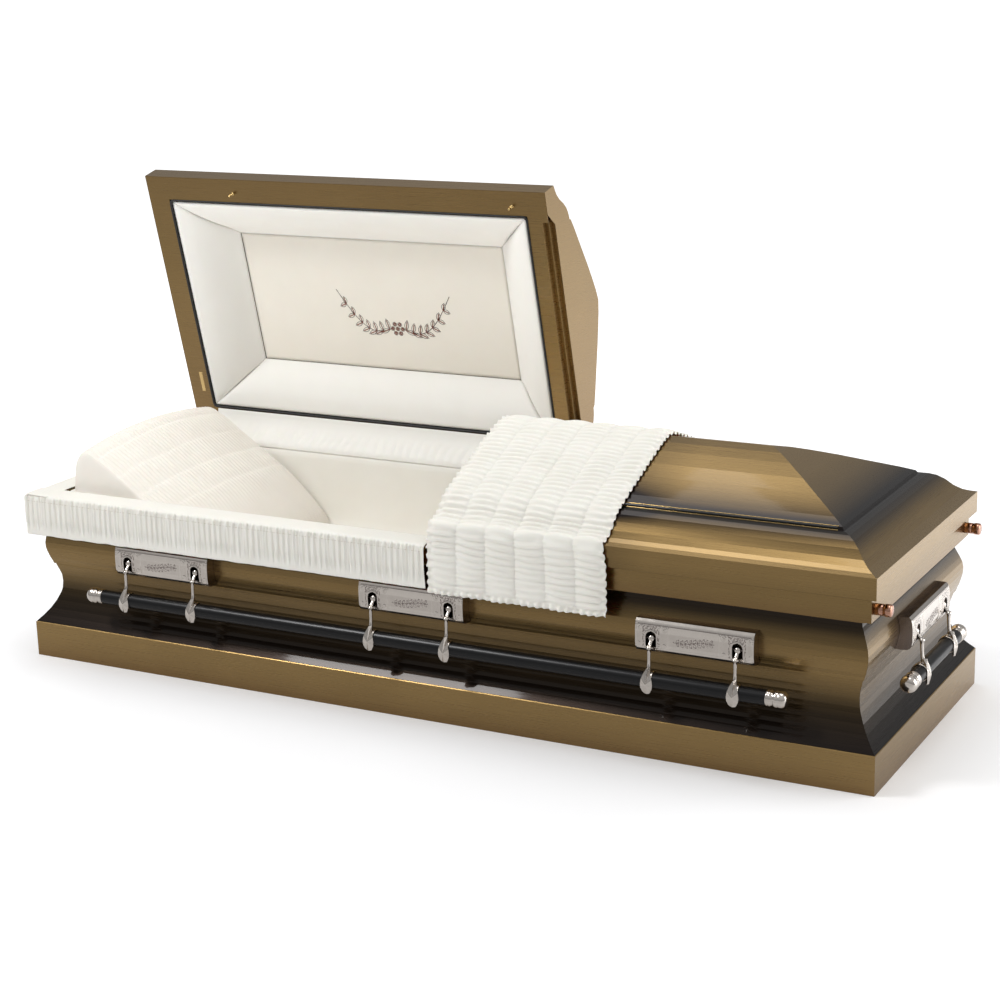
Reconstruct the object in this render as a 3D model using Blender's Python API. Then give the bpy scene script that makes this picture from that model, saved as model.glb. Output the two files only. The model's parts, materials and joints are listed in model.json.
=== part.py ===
"""Half-couch steel funeral casket with its head lid open.

X runs along the casket, from the head end at -X to the foot end at +X. -Y is the front and +Y the
hinge side. The origin is the centre of the underside. A section point is (inset, z): how far it
stands in from the base's outer edge, and its height.
"""

import math

import bmesh
import bpy
from mathutils import Matrix, Vector

# Overall sizes, in metres
LENGTH = 2.108
WIDTH = 0.710
HALF_LENGTH = LENGTH / 2
HALF_WIDTH = WIDTH / 2
STEEL = 0.0012
GAP = 0.0003
MITRE_GAP = 0.0002

# Base moulding and shell
BASE_HEIGHT = 0.084
BASE_FLANGE = 0.022
SHELL_TOP = 0.351

# Top moulding, which the lids close on
RIM_INSET = 0.0197
RIM_BOTTOM = 0.3535
RIM_TOP = 0.400
RIM_INNER = 0.066
RIM_LIP = 0.028
TUBE_INSET = 0.045
TUBE_Z = 0.3765
TUBE_RADIUS = 0.013
TUBE_LENGTH = 0.034

# Lids
BAND_INSET = 0.0059
LID_BOTTOM = 0.405
BAND_TOP = 0.451
BEAD_INSET = 0.110
CROWN_TOP = 0.604
HEAD_LID_CUT = 0.074
FOOT_LID_CUT = 0.077
HEAD_LID_OPEN_DEG = 76.4
FLANGE_WIDTH = 0.0600
CUT_FLANGE_WIDTH = 0.0535
FLANGE_LIP = 0.015
RABBET_STEP = 0.015
RABBET_TREAD = 0.0085
RABBET_START = 0.060
RABBET_FULL = 0.095

# Hinge line and leaves
HINGE_Y = 0.357
HINGE_Z = 0.4085
KNUCKLE_RADIUS = 0.005
PIN_RADIUS = 0.002
PIN_BORE = 0.0027
LEAF = 0.0015

# Soft interior
TUB_INSET = RIM_INNER + GAP
TUB_WALL = 0.012
TUB_BOTTOM = 0.185
BED_TOP = 0.200
TUB_TOP = 0.3985
GASKET_SPACE = 0.0065
PANEL_HEAD_X = -0.850
PANEL_CUT_X = -0.102
PANEL_HALF_WIDTH = 0.175
PANEL_Z = 0.4850
PANEL_THICKNESS = 0.0065
PILLOW_LENGTH = 0.370
PILLOW_RISE = 0.030
SKIRT_BOTTOM = 0.3065
SKIRT_END_X = 0.030
SKIRT_REAR_Y = 0.330
THROW_START = FOOT_LID_CUT + 0.001
THROW_END = 0.455
THROW_BOTTOM = 0.299
THROW_THICKNESS = 0.005

# Handles: lugs on the shell, arms that swing on them, and the bars that the arms clasp
LUG_HALF_LENGTH = 0.1305
LUG_SPACING = 0.667
LUG_WALL = 0.0025
ARM_OFFSET = 0.0949
PIVOT_INSET = 0.005
PIVOT_Z = 0.265
BAR_OUT = 0.015
BAR_DROP = 0.086
BAR_RADIUS = 0.0165
BAR_WALL = 0.0016
BAR_SIDES = 10
SIDE_BAR_HALF = 0.875
END_BAR_HALF = 0.190
TIP_LENGTH = 0.0447
ROD_RADIUS = 0.0025
KNUCKLE_BORE = 0.0032
BORE_CLEARANCE = 0.0004


def clear_scene():
    for item in list(bpy.data.objects):
        bpy.data.objects.remove(item, do_unlink=True)


def material(name, colour, roughness, metallic):
    made = bpy.data.materials.new(name)
    made.use_nodes = True
    shader = made.node_tree.nodes["Principled BSDF"]
    shader.inputs["Base Color"].default_value = (*colour, 1.0)
    shader.inputs["Roughness"].default_value = roughness
    shader.inputs["Metallic"].default_value = metallic
    made.diffuse_color = (*colour, 1.0)
    return made


def loft(loops, closed=False):
    """A closed body through loops of equally many points. Open lofts get a cap at each end."""
    bm = bmesh.new()
    rings = [[bm.verts.new(point) for point in loop] for loop in loops]
    following = rings[1:] + ([rings[0]] if closed else [])
    for ring, after in zip(rings, following):
        for i in range(len(ring)):
            j = (i + 1) % len(ring)
            bm.faces.new((ring[i], ring[j], after[j], after[i]))
    if not closed:
        bm.faces.new(rings[0])
        bm.faces.new(rings[-1])
    return finish_mesh(bm)


def finish_mesh(bm):
    bmesh.ops.remove_doubles(bm, verts=bm.verts, dist=1e-6)
    bmesh.ops.recalc_face_normals(bm, faces=bm.faces)
    bmesh.ops.triangulate(bm, faces=bm.faces)
    mesh = bpy.data.meshes.new("shape")
    bm.to_mesh(mesh)
    bm.free()
    return mesh


def place(name, mesh, finish, parent=None, location=(0, 0, 0)):
    """An object for the mesh. With a parent, location is measured in the parent's axes."""
    item = bpy.data.objects.new(name, mesh)
    bpy.context.scene.collection.objects.link(item)
    if not mesh.materials:
        mesh.materials.append(finish)
    item.parent = parent
    item.location = location
    return item


def axis_empty(name, location, rotation):
    empty = bpy.data.objects.new(name, None)
    bpy.context.scene.collection.objects.link(empty)
    empty.location = location
    empty.rotation_euler = rotation
    return empty


def combined(base, others, operation):
    """The mesh of base united with, or cut by, each of the others in turn."""
    bodies = [bpy.data.objects.new("operand", mesh) for mesh in [base, *others]]
    for body in bodies:
        bpy.context.scene.collection.objects.link(body)
    for body in bodies[1:]:
        step = bodies[0].modifiers.new("step", "BOOLEAN")
        step.operation = operation
        step.solver = "EXACT"
        step.object = body
    bpy.context.view_layer.update()
    evaluated = bodies[0].evaluated_get(bpy.context.evaluated_depsgraph_get())
    made = bpy.data.meshes.new_from_object(evaluated)
    for body in bodies:
        bpy.data.objects.remove(body, do_unlink=True)
    bm = bmesh.new()
    bm.from_mesh(made)
    bpy.data.meshes.remove(made)
    bmesh.ops.dissolve_limit(bm, angle_limit=math.radians(0.5), verts=bm.verts, edges=bm.edges)
    return finish_mesh(bm)


def box(low, high):
    def rectangle(z):
        return [(low[0], low[1], z), (high[0], low[1], z), (high[0], high[1], z), (low[0], high[1], z)]

    return loft([rectangle(low[2]), rectangle(high[2])])


def round_bar(start, end, radius, sides):
    """A straight cylinder along X between two points."""
    def ring(centre):
        x, y, z = centre
        turns = [2 * math.pi * k / sides for k in range(sides)]
        return [(x, y + radius * math.cos(t), z + radius * math.sin(t)) for t in turns]

    return loft([ring(start), ring(end)])


def turned(profile, sides, closed=False):
    """A body turned about X. Profile points are (x, radius)."""
    turns = [2 * math.pi * k / sides for k in range(sides)]
    loops = [[(x, r * math.cos(t), r * math.sin(t)) for t in turns] for x, r in profile]
    return loft(loops, closed)


def offset_path(points, distance):
    """The path moved to its right-hand side by distance, with mitred corners."""
    normals = []
    for (x0, z0), (x1, z1) in zip(points, points[1:]):
        length = math.hypot(x1 - x0, z1 - z0)
        normals.append(((z1 - z0) / length, -(x1 - x0) / length))
    moved = []
    for i, (x, z) in enumerate(points):
        before = normals[max(i - 1, 0)]
        after = normals[min(i, len(normals) - 1)]
        spread = 1 + before[0] * after[0] + before[1] * after[1]
        shift = ((before[0] + after[0]) / spread, (before[1] + after[1]) / spread)
        moved.append((x + distance * shift[0], z + distance * shift[1]))
    return moved


def sheet_section(path, thickness=STEEL):
    """A closed section of bent sheet whose outer face is the path."""
    return path + offset_path(path, thickness)[::-1]


def inset_rect(inset):
    return (-HALF_LENGTH + inset, HALF_LENGTH - inset, -HALF_WIDTH + inset, HALF_WIDTH - inset)


def shrink(rect, margin):
    return (rect[0] + margin, rect[1] - margin, rect[2] + margin, rect[3] - margin)


def between(rect, other, share):
    return tuple(a + (b - a) * share for a, b in zip(rect, other))


def corners(rect, z):
    x0, x1, y0, y1 = rect
    return [(x0, y0, z), (x1, y0, z), (x1, y1, z), (x0, y1, z)]


def ring_from_section(section):
    """A mitred ring round the casket with this section."""
    return loft([corners(inset_rect(inset), z) for inset, z in section], closed=True)


def side_from_section(section, side):
    """One mitred side of such a ring. Side is front, back, head or foot."""
    def point(inset, z, end):
        along_x = end * (HALF_LENGTH - inset - MITRE_GAP)
        along_y = end * (HALF_WIDTH - inset - MITRE_GAP)
        return {
            "front": (along_x, -HALF_WIDTH + inset, z),
            "back": (along_x, HALF_WIDTH - inset, z),
            "head": (-HALF_LENGTH + inset, along_y, z),
            "foot": (HALF_LENGTH - inset, along_y, z),
        }[side]

    return loft([[point(inset, z, end) for inset, z in section] for end in (-1, 1)])


def shell_path():
    """Outer face of the ogee shell, from the base up into the top moulding."""
    lower_cove = [(0.0019, 0.0860), (0.008, 0.0925), (0.015, 0.100), (0.027, 0.115), (0.038, 0.133)]
    waist = [(0.0465, 0.152), (0.0495, 0.163), (0.051, 0.180), (0.050, 0.196), (0.047, 0.207)]
    step = [(0.0420, 0.2225), (0.0420, 0.2250), (0.0385, 0.2260), (0.0365, 0.233)]
    bulge = [(0.033, 0.242), (0.029, 0.257), (0.0268, 0.268)]
    bulge += [(0.0265, 0.280), (0.0285, 0.293), (0.033, 0.305)]
    neck = [(0.042, 0.326), (0.046, 0.334), (0.047, 0.340), (0.047, SHELL_TOP)]
    return lower_cove + waist + step + bulge + neck


def lid_path():
    """Outer face of a lid in section, from the band's lower edge to the ridge."""
    band = [(BAND_INSET, LID_BOTTOM), (BAND_INSET, BAND_TOP)]
    cove = [(0.020, 0.4555), (0.033, 0.461), (0.048, 0.472), (0.063, 0.488), (0.078, 0.4995)]
    shoulder = [(0.092, 0.5055), (0.104, 0.5082), (BEAD_INSET, 0.5085), (BEAD_INSET + 0.004, 0.515)]
    crown = [(0.140, 0.5265), (0.170, 0.5385), (0.204, 0.552)]
    crown += [(0.246, 0.569), (0.292, 0.586), (0.325, 0.597)]
    return band + cove + shoulder + crown + [(HALF_WIDTH, CROWN_TOP)]


def lid_shell(cut_x, end, rabbet):
    """A hollow lid with a hipped end at end (+1 foot, -1 head) and an end panel at cut_x."""
    bm = bmesh.new()

    def skin(path, panel_x):
        """Rows of points up the section, and the points along the end panel's lower edge."""
        rows = []
        for inset, z in path:
            y = HALF_WIDTH - inset
            hip = end * (HALF_LENGTH - inset)
            points = [(panel_x, -y, z), (hip, -y, z), (hip, y, z), (panel_x, y, z)]
            rows.append([bm.verts.new(point) for point in points])
        notch = []
        if rabbet:
            near, far = HALF_WIDTH - RABBET_START, HALF_WIDTH - RABBET_FULL
            raised = LID_BOTTOM + 2 * RABBET_STEP
            low = [(near, LID_BOTTOM), (far, raised), (-far, raised), (-near, LID_BOTTOM)]
            notch = [bm.verts.new((panel_x, y, z)) for y, z in low]
        for row, above in zip(rows, rows[1:]):
            for i in range(3):
                bm.faces.new((row[i], row[i + 1], above[i + 1], above[i]))
        edge = [row[0] for row in rows] + [row[3] for row in reversed(rows)] + notch
        bm.faces.new(edge)
        return rows[0] + notch

    outer_path = lid_path()
    inner_path = offset_path(outer_path, STEEL)
    inner_path[-1] = (HALF_WIDTH, inner_path[-1][1])
    outer = skin(outer_path, cut_x)
    inner = skin(inner_path, cut_x + end * STEEL)
    for i in range(len(outer)):
        j = (i + 1) % len(outer)
        bm.faces.new((outer[i], outer[j], inner[j], inner[i]))
    return finish_mesh(bm)


def lid_rects(cut_x, end):
    """The flange's outer rectangle just inside the shell, and its opening."""
    margin = STEEL + GAP
    far = end * (HALF_LENGTH - BAND_INSET - margin)
    near = cut_x + end * margin
    half = HALF_WIDTH - BAND_INSET - margin
    far_opening = end * (HALF_LENGTH - BAND_INSET - FLANGE_WIDTH)
    near_opening = cut_x + end * CUT_FLANGE_WIDTH
    half_opening = HALF_WIDTH - BAND_INSET - FLANGE_WIDTH
    outer = (min(far, near), max(far, near), -half, half)
    opening = (min(far_opening, near_opening), max(far_opening, near_opening), -half_opening, half_opening)
    return outer, opening


def lid_rim(cut_x, end):
    """A flat flange round the lid's opening, turned up into a lip at its inner edge."""
    outer, opening = lid_rects(cut_x, end)
    lip = shrink(opening, -STEEL)
    top = LID_BOTTOM + STEEL
    section = [(outer, LID_BOTTOM), (opening, LID_BOTTOM), (opening, LID_BOTTOM + FLANGE_LIP)]
    section += [(lip, LID_BOTTOM + FLANGE_LIP), (lip, top), (outer, top)]
    return loft([corners(rect, z) for rect, z in section], closed=True)


def head_lid_rim():
    """The head lid's flange, with the two steps of the rabbet along its cut end."""
    flange = lid_rim(HEAD_LID_CUT, -1)
    first_edge = HEAD_LID_CUT - 2 * RABBET_TREAD
    second_edge = HEAD_LID_CUT - RABBET_TREAD
    half = HALF_WIDTH - RABBET_FULL + RABBET_STEP
    overlap = 0.002
    cutter_low = (first_edge - overlap / 2, -half, LID_BOTTOM - overlap)
    cutter_high = (HEAD_LID_CUT + overlap, half, LID_BOTTOM + overlap)
    cutter = box(cutter_low, cutter_high)
    shortened = combined(flange, [cutter], "DIFFERENCE")
    level = [LID_BOTTOM + RABBET_STEP * step for step in range(3)]
    face = [(first_edge - overlap, level[0]), (first_edge, level[0]), (first_edge, level[1])]
    face += [(second_edge, level[1]), (second_edge, level[2]), (HEAD_LID_CUT - STEEL - GAP, level[2])]
    back = [(x - STEEL if i in (1, 2, 3, 4) else x, z + STEEL) for i, (x, z) in enumerate(face)]
    steps = loft([[(x, y, z) for x, z in face + back[::-1]] for y in (-half, half)])
    return combined(shortened, [steps], "UNION")


def padded_roll():
    """The roll round the head lid's opening, sloping from the gasket up to the cap panel."""
    _, opening = lid_rects(HEAD_LID_CUT, -1)
    outer = shrink(opening, GASKET_SPACE)
    panel = (PANEL_HEAD_X, PANEL_CUT_X, -PANEL_HALF_WIDTH, PANEL_HALF_WIDTH)
    slope = [(0, 0.4085), (0.10, 0.4105), (0.35, 0.4240), (0.62, 0.4480), (0.86, 0.4740), (1, 0.4845)]
    back = [(1, PANEL_Z + PANEL_THICKNESS), (0.75, PANEL_Z + PANEL_THICKNESS), (0, 0.477)]
    return loft([corners(between(outer, panel, share), z) for share, z in slope + back], closed=True)


def cap_panel():
    panel = (PANEL_HEAD_X, PANEL_CUT_X, -PANEL_HALF_WIDTH, PANEL_HALF_WIDTH)
    rect = shrink(panel, GAP)
    return loft([corners(rect, PANEL_Z), corners(rect, PANEL_Z + PANEL_THICKNESS)])


def lining_tub():
    outer = inset_rect(TUB_INSET)
    inner = shrink(outer, TUB_WALL)
    rounded = shrink(outer, TUB_WALL - 0.003)
    return loft([
        corners(outer, TUB_BOTTOM),
        corners(outer, TUB_TOP),
        corners(rounded, TUB_TOP),
        corners(inner, TUB_TOP - 0.006),
        corners(inner, BED_TOP),
    ])


def pillow():
    """A pillow that leans on the head end: its ridge high, its face sloping down to the bed."""
    head_x = -HALF_LENGTH + TUB_INSET + TUB_WALL + 2 * GAP
    half_width = HALF_WIDTH - TUB_INSET - TUB_WALL - 2 * GAP
    bottom = BED_TOP + GAP
    outline = [(0, bottom), (0, 0.440), (0.008, 0.476), (0.027, 0.490), (0.074, 0.471)]
    outline += [(0.174, 0.405), (0.264, 0.345), (0.340, 0.270)]
    outline += [(PILLOW_LENGTH, 0.235), (PILLOW_LENGTH, bottom)]
    rows = []
    for share in (-1, -0.82, -0.4, 0.4, 0.82, 1):
        swell = PILLOW_RISE * (1 - share * share)
        rise = [swell * (z - bottom) / (0.490 - bottom) for _, z in outline]
        rows.append([(head_x + x, share * half_width, z + up) for (x, z), up in zip(outline, rise)])
    return loft(rows)


def skirt_section():
    """The skirt in section: a thin band on the rim's top and a hanging part in front of it."""
    inner = RIM_INNER
    outer = RIM_INSET - GAP
    front = 0.004
    top = LID_BOTTOM - 2 * GAP
    low = RIM_TOP + GAP
    hanging = [(front, low), (front, SKIRT_BOTTOM + 0.004), (0.010, SKIRT_BOTTOM), (outer, SKIRT_BOTTOM)]
    return [(inner, low), (inner, top), (front + 0.002, top)] + hanging + [(outer, low)]


def front_skirt():
    section = skirt_section()
    head = [(-HALF_LENGTH + inset + MITRE_GAP, -HALF_WIDTH + inset, z) for inset, z in section]
    foot = [(SKIRT_END_X, -HALF_WIDTH + inset, z) for inset, z in section]
    return loft([head, foot])


def head_end_skirt():
    section = skirt_section()
    near = [(-HALF_LENGTH + inset, -HALF_WIDTH + inset + MITRE_GAP, z) for inset, z in section]
    rear = [(-HALF_LENGTH + inset, SKIRT_REAR_Y, z) for inset, z in section]
    return loft([near, rear])


def throw():
    """The cloth over the foot lid's head-side end, hanging down in front."""
    hang_inset = 0.0025
    top = [(inset, z) for inset, z in lid_path()[2:] if inset not in (0.104, BEAD_INSET)]
    rear_end = 0.045
    rear = [(WIDTH - inset, z) for inset, z in reversed(top[:-1]) if inset > rear_end]
    path = [(hang_inset, THROW_BOTTOM), (hang_inset, BAND_TOP), (0.007, BAND_TOP + 0.003)] + top + rear
    under = offset_path(path, -2 * GAP)
    over = offset_path(path, -2 * GAP - THROW_THICKNESS)
    section = under + over[::-1]
    return loft([[(x, -HALF_WIDTH + inset, z) for inset, z in section] for x in (THROW_START, THROW_END)])


def locking_tube():
    """A short tube with a cap of slightly larger diameter, its root at the origin."""
    cap_start = 0.62 * TUBE_LENGTH
    profile = [(0, TUBE_RADIUS * 0.92), (cap_start, TUBE_RADIUS * 0.92), (cap_start, TUBE_RADIUS)]
    profile += [(TUBE_LENGTH - 0.002, TUBE_RADIUS), (TUBE_LENGTH, TUBE_RADIUS - 0.002)]
    return turned(profile, 12)


def knuckle_ends(start, end):
    """Where one lid's three knuckles start and end along X: body, lid, body."""
    third = (end - start) / 3
    return [(start + third * k + GAP, start + third * (k + 1) - GAP) for k in range(3)]


def body_hinge_leaf(spans):
    """The leaf on the rim's rear face, its outer knuckles for each lid, and their pins."""
    rim_face = HALF_WIDTH - RIM_INSET + GAP
    start, end = spans[0][0], spans[-1][1]
    top = LID_BOTTOM - 0.0005
    plate = box((start, rim_face, RIM_BOTTOM + 0.018), (end, rim_face + LEAF, top))
    pieces = []
    for low, high in spans:
        knuckles = knuckle_ends(low, high)
        for x0, x1 in (knuckles[0], knuckles[2]):
            pieces.append(round_bar((x0, HINGE_Y, HINGE_Z), (x1, HINGE_Y, HINGE_Z), KNUCKLE_RADIUS, 6))
            pieces.append(box((x0, rim_face + LEAF / 2, RIM_TOP + GAP), (x1, HINGE_Y, top - 0.0001)))
        middle = knuckles[1]
        pin = ((middle[0] - 0.01, HINGE_Y, HINGE_Z), (middle[1] + 0.01, HINGE_Y, HINGE_Z))
        pieces.append(round_bar(*pin, PIN_RADIUS, 6))
    return combined(plate, pieces, "UNION")


def lid_hinge_leaf(span):
    """The leaf on a lid's rear face with its middle knuckle, bored for the pin."""
    lid_face = HALF_WIDTH - BAND_INSET + GAP
    plate = box((span[0], lid_face, HINGE_Z + 0.0065), (span[1], lid_face + LEAF, BAND_TOP - 0.005))
    x0, x1 = knuckle_ends(*span)[1]
    barrel = round_bar((x0, HINGE_Y, HINGE_Z), (x1, HINGE_Y, HINGE_Z), KNUCKLE_RADIUS, 8)
    web = box((x0, lid_face, HINGE_Z + 0.0015), (x1, HINGE_Y, HINGE_Z + 0.010))
    bore = round_bar((x0 - 0.001, HINGE_Y, HINGE_Z), (x1 + 0.001, HINGE_Y, HINGE_Z), PIN_BORE, 8)
    return combined(combined(plate, [barrel, web], "UNION"), [bore], "DIFFERENCE")


def lug():
    """A hollow handle lug. Its front bows outwards, and two arched holes show the rod inside.

    Here X runs along the casket's side, Y is the inset and Z the height.
    """
    front = [(0.0070, 0.3050), (0.0025, 0.3000), (0.0005, 0.2920), (-0.0010, 0.2800), (-0.0010, 0.2550)]
    front += [(0.0005, 0.2450), (0.0045, 0.2375), (0.0100, 0.2345)]
    back = [(inset - BORE_CLEARANCE, z) for inset, z in shell_path() if 0.233 <= z <= 0.305]
    outline = front + back
    block = loft([[(x, inset, z) for inset, z in outline] for x in (-LUG_HALF_LENGTH, LUG_HALF_LENGTH)])
    hollow = offset_path(front, -LUG_WALL)
    beyond = 0.050
    hollow[0] = (hollow[0][0], front[0][1] - LUG_WALL)
    hollow = hollow + [(beyond, hollow[-1][1]), (beyond, hollow[0][1])]
    half = LUG_HALF_LENGTH - LUG_WALL
    cavity = loft([[(x, inset, z) for inset, z in hollow] for x in (-half, half)])
    arch_half, arch_low, arch_spring = 0.0115, 0.2495, 0.2705
    arc = [math.pi * k / 4 for k in range(5)]
    arch = [(arch_half * math.cos(t), arch_spring + arch_half * math.sin(t)) for t in arc]
    arch = [(arch_half, arch_low)] + arch + [(-arch_half, arch_low)]
    holes = []
    for side in (-1, 1):
        moved = [(side * ARM_OFFSET + x, z) for x, z in arch]
        holes.append(loft([[(x, inset, z) for x, z in moved] for inset in (-0.010, 0.008)]))
    hollowed = combined(block, [cavity, *holes], "DIFFERENCE")
    rod_end = LUG_HALF_LENGTH - LUG_WALL / 2
    rod = round_bar((-rod_end, PIVOT_INSET, PIVOT_Z), (rod_end, PIVOT_INSET, PIVOT_Z), ROD_RADIUS, 6)
    return combined(hollowed, [rod], "UNION")


def arm():
    """A handle arm about its pivot: a bored knuckle, a collared shank and a teardrop clasp."""
    half = 0.0055
    edge, crest = 0.0070, 0.0088
    knuckle_section = [(-half, edge), (0, crest), (half, edge), (half, KNUCKLE_BORE), (-half, KNUCKLE_BORE)]
    knuckle = turned(knuckle_section, 6, True)
    course = [
        ((0, -0.0050, -0.0045), 0.0044),
        ((0, -0.0138, -0.0135), 0.0044),
        ((0, -0.0146, -0.0150), 0.0066),
        ((0, -0.0152, -0.0190), 0.0066),
        ((0, -0.0156, -0.0205), 0.0043),
        ((0, -0.0200, -0.0680), 0.0050),
    ]
    loops = []
    for (x, y, z), radius in course:
        turns = [math.pi / 3 * k for k in range(6)]
        loops.append([(x + radius * math.cos(t), y + radius * math.sin(t), z) for t in turns])
    shank = loft(loops)

    def clasp_loop(side, bore):
        points = []
        for k in range(BAR_SIDES):
            turn = 2 * math.pi * k / BAR_SIDES
            if bore:
                reach = BAR_RADIUS + BORE_CLEARANCE
            else:
                reach = 0.0200 + 0.0090 * max(0.0, math.sin(turn)) ** 3
            y, z = reach * math.cos(turn), reach * math.sin(turn)
            half_width = 0.0140 * math.cos(math.pi / 2 * max(-0.9, min(0.9, (z + 0.004) / 0.031)))
            points.append((side * half_width, y - BAR_OUT, z - BAR_DROP))
        return points

    loops = [clasp_loop(side, outside) for side, outside in ((1, False), (1, True), (-1, True), (-1, False))]
    clasp = loft(loops, closed=True)
    return combined(shank, [knuckle, clasp], "UNION")


def bar_tube(half_length):
    inner = BAR_RADIUS - BAR_WALL
    profile = [(-half_length, BAR_RADIUS), (half_length, BAR_RADIUS)]
    profile += [(half_length, inner), (-half_length, inner)]
    return turned(profile, BAR_SIDES, True)


def bar_tip():
    """A ribbed tip with its root at the origin, pointing along +X."""
    ribs = [(0, 0.0178), (0.010, 0.0178), (0.0120, 0.0163), (0.018, 0.0185), (0.036, 0.0185)]
    return turned(ribs + [(TIP_LENGTH, 0.0115)], BAR_SIDES)


def mirrored(mesh):
    """A copy of the mesh turned round to point along -X."""
    copy = mesh.copy()
    copy.transform(Matrix.Rotation(math.pi, 4, "Z"))
    return copy


def make_materials():
    return {
        "bronze": material("brushed_bronze", (0.33, 0.22, 0.105), 0.32, 1.0),
        "pan": material("pan_steel", (0.10, 0.09, 0.08), 0.5, 1.0),
        "nickel": material("nickel_hardware", (0.78, 0.72, 0.66), 0.12, 1.0),
        "bar": material("charcoal_bar", (0.022, 0.022, 0.024), 0.35, 0.4),
        "copper": material("copper_tube", (0.45, 0.22, 0.14), 0.22, 1.0),
        "lining": material("cream_lining", (0.86, 0.81, 0.72), 0.75, 0.0),
        "pleated": material("shirred_cloth", (0.90, 0.87, 0.80), 0.8, 0.0),
        "hinge": material("hinge_steel", (0.30, 0.21, 0.11), 0.4, 1.0),
    }


def build_body(finish):
    base_path = [(BASE_FLANGE, 0), (0, 0), (0, BASE_HEIGHT), (0.0016, BASE_HEIGHT + 0.0014)]
    place("base_moulding", ring_from_section(sheet_section(base_path)), finish["bronze"])
    pan = inset_rect(BASE_FLANGE + GAP)
    place("bottom_pan", loft([corners(pan, 0), corners(pan, STEEL)]), finish["pan"])

    shell = sheet_section(shell_path())
    for side, name in (("front", "front_side_panel"), ("back", "back_side_panel")):
        place(name, side_from_section(shell, side), finish["bronze"])
    for side, name in (("head", "head_end_panel"), ("foot", "foot_end_panel")):
        place(name, side_from_section(shell, side), finish["bronze"])

    bead = [(0.0467, 0.3465), (0.0430, 0.3440), (0.0395, 0.3455), (0.0385, 0.3495)]
    rim_path = bead + [(RIM_INSET, RIM_BOTTOM), (RIM_INSET, RIM_TOP), (RIM_INNER, RIM_TOP)]
    rim_path += [(RIM_INNER, RIM_TOP - RIM_LIP)]
    place("top_moulding", ring_from_section(sheet_section(rim_path)), finish["bronze"])

    tube = locking_tube()
    for name, side in (("locking_tube_front", -1), ("locking_tube_rear", 1)):
        spot = (HALF_LENGTH - RIM_INSET + GAP, side * (HALF_WIDTH - TUBE_INSET), TUBE_Z)
        place(name, tube, finish["copper"], location=spot)

    place("body_lining", lining_tub(), finish["lining"])
    place("pillow", pillow(), finish["pleated"])
    place("front_skirt", front_skirt(), finish["pleated"])
    place("head_end_skirt", head_end_skirt(), finish["pleated"])


def place_closed(name, mesh, finish, hinge):
    """Places a lid piece that was modelled with the lid closed, so that it turns with the hinge."""
    mesh.transform(Matrix.Translation(-hinge.location))
    return place(name, mesh, finish, parent=hinge)


def build_lids(finish):
    head_span = (-0.960, 0.040)
    foot_span = (0.110, 0.960)
    place("body_hinge_leaf", body_hinge_leaf([head_span, foot_span]), finish["hinge"])

    line = Vector((0, HINGE_Y, HINGE_Z))
    head = axis_empty("head_lid_hinge_line", line, (math.radians(-HEAD_LID_OPEN_DEG), 0, 0))
    place_closed("head_lid_shell", lid_shell(HEAD_LID_CUT, -1, True), finish["bronze"], head)
    place_closed("head_lid_rim", head_lid_rim(), finish["bronze"], head)
    place_closed("head_lid_roll", padded_roll(), finish["lining"], head)
    place_closed("head_lid_cap_panel", cap_panel(), finish["lining"], head)
    place_closed("head_lid_hinge_leaf", lid_hinge_leaf(head_span), finish["hinge"], head)

    foot = axis_empty("foot_lid_hinge_line", line, (0, 0, 0))
    place_closed("foot_lid_shell", lid_shell(FOOT_LID_CUT, 1, False), finish["bronze"], foot)
    place_closed("foot_lid_rim", lid_rim(FOOT_LID_CUT, 1), finish["bronze"], foot)
    _, opening = lid_rects(FOOT_LID_CUT, 1)
    cloth = shrink(opening, GAP)
    low = LID_BOTTOM + 0.0025
    lining = loft([corners(cloth, low), corners(cloth, low + 0.004)])
    place_closed("foot_lid_lining", lining, finish["lining"], foot)
    place_closed("throw", throw(), finish["pleated"], foot)
    place_closed("foot_lid_hinge_leaf", lid_hinge_leaf(foot_span), finish["hinge"], foot)


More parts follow.
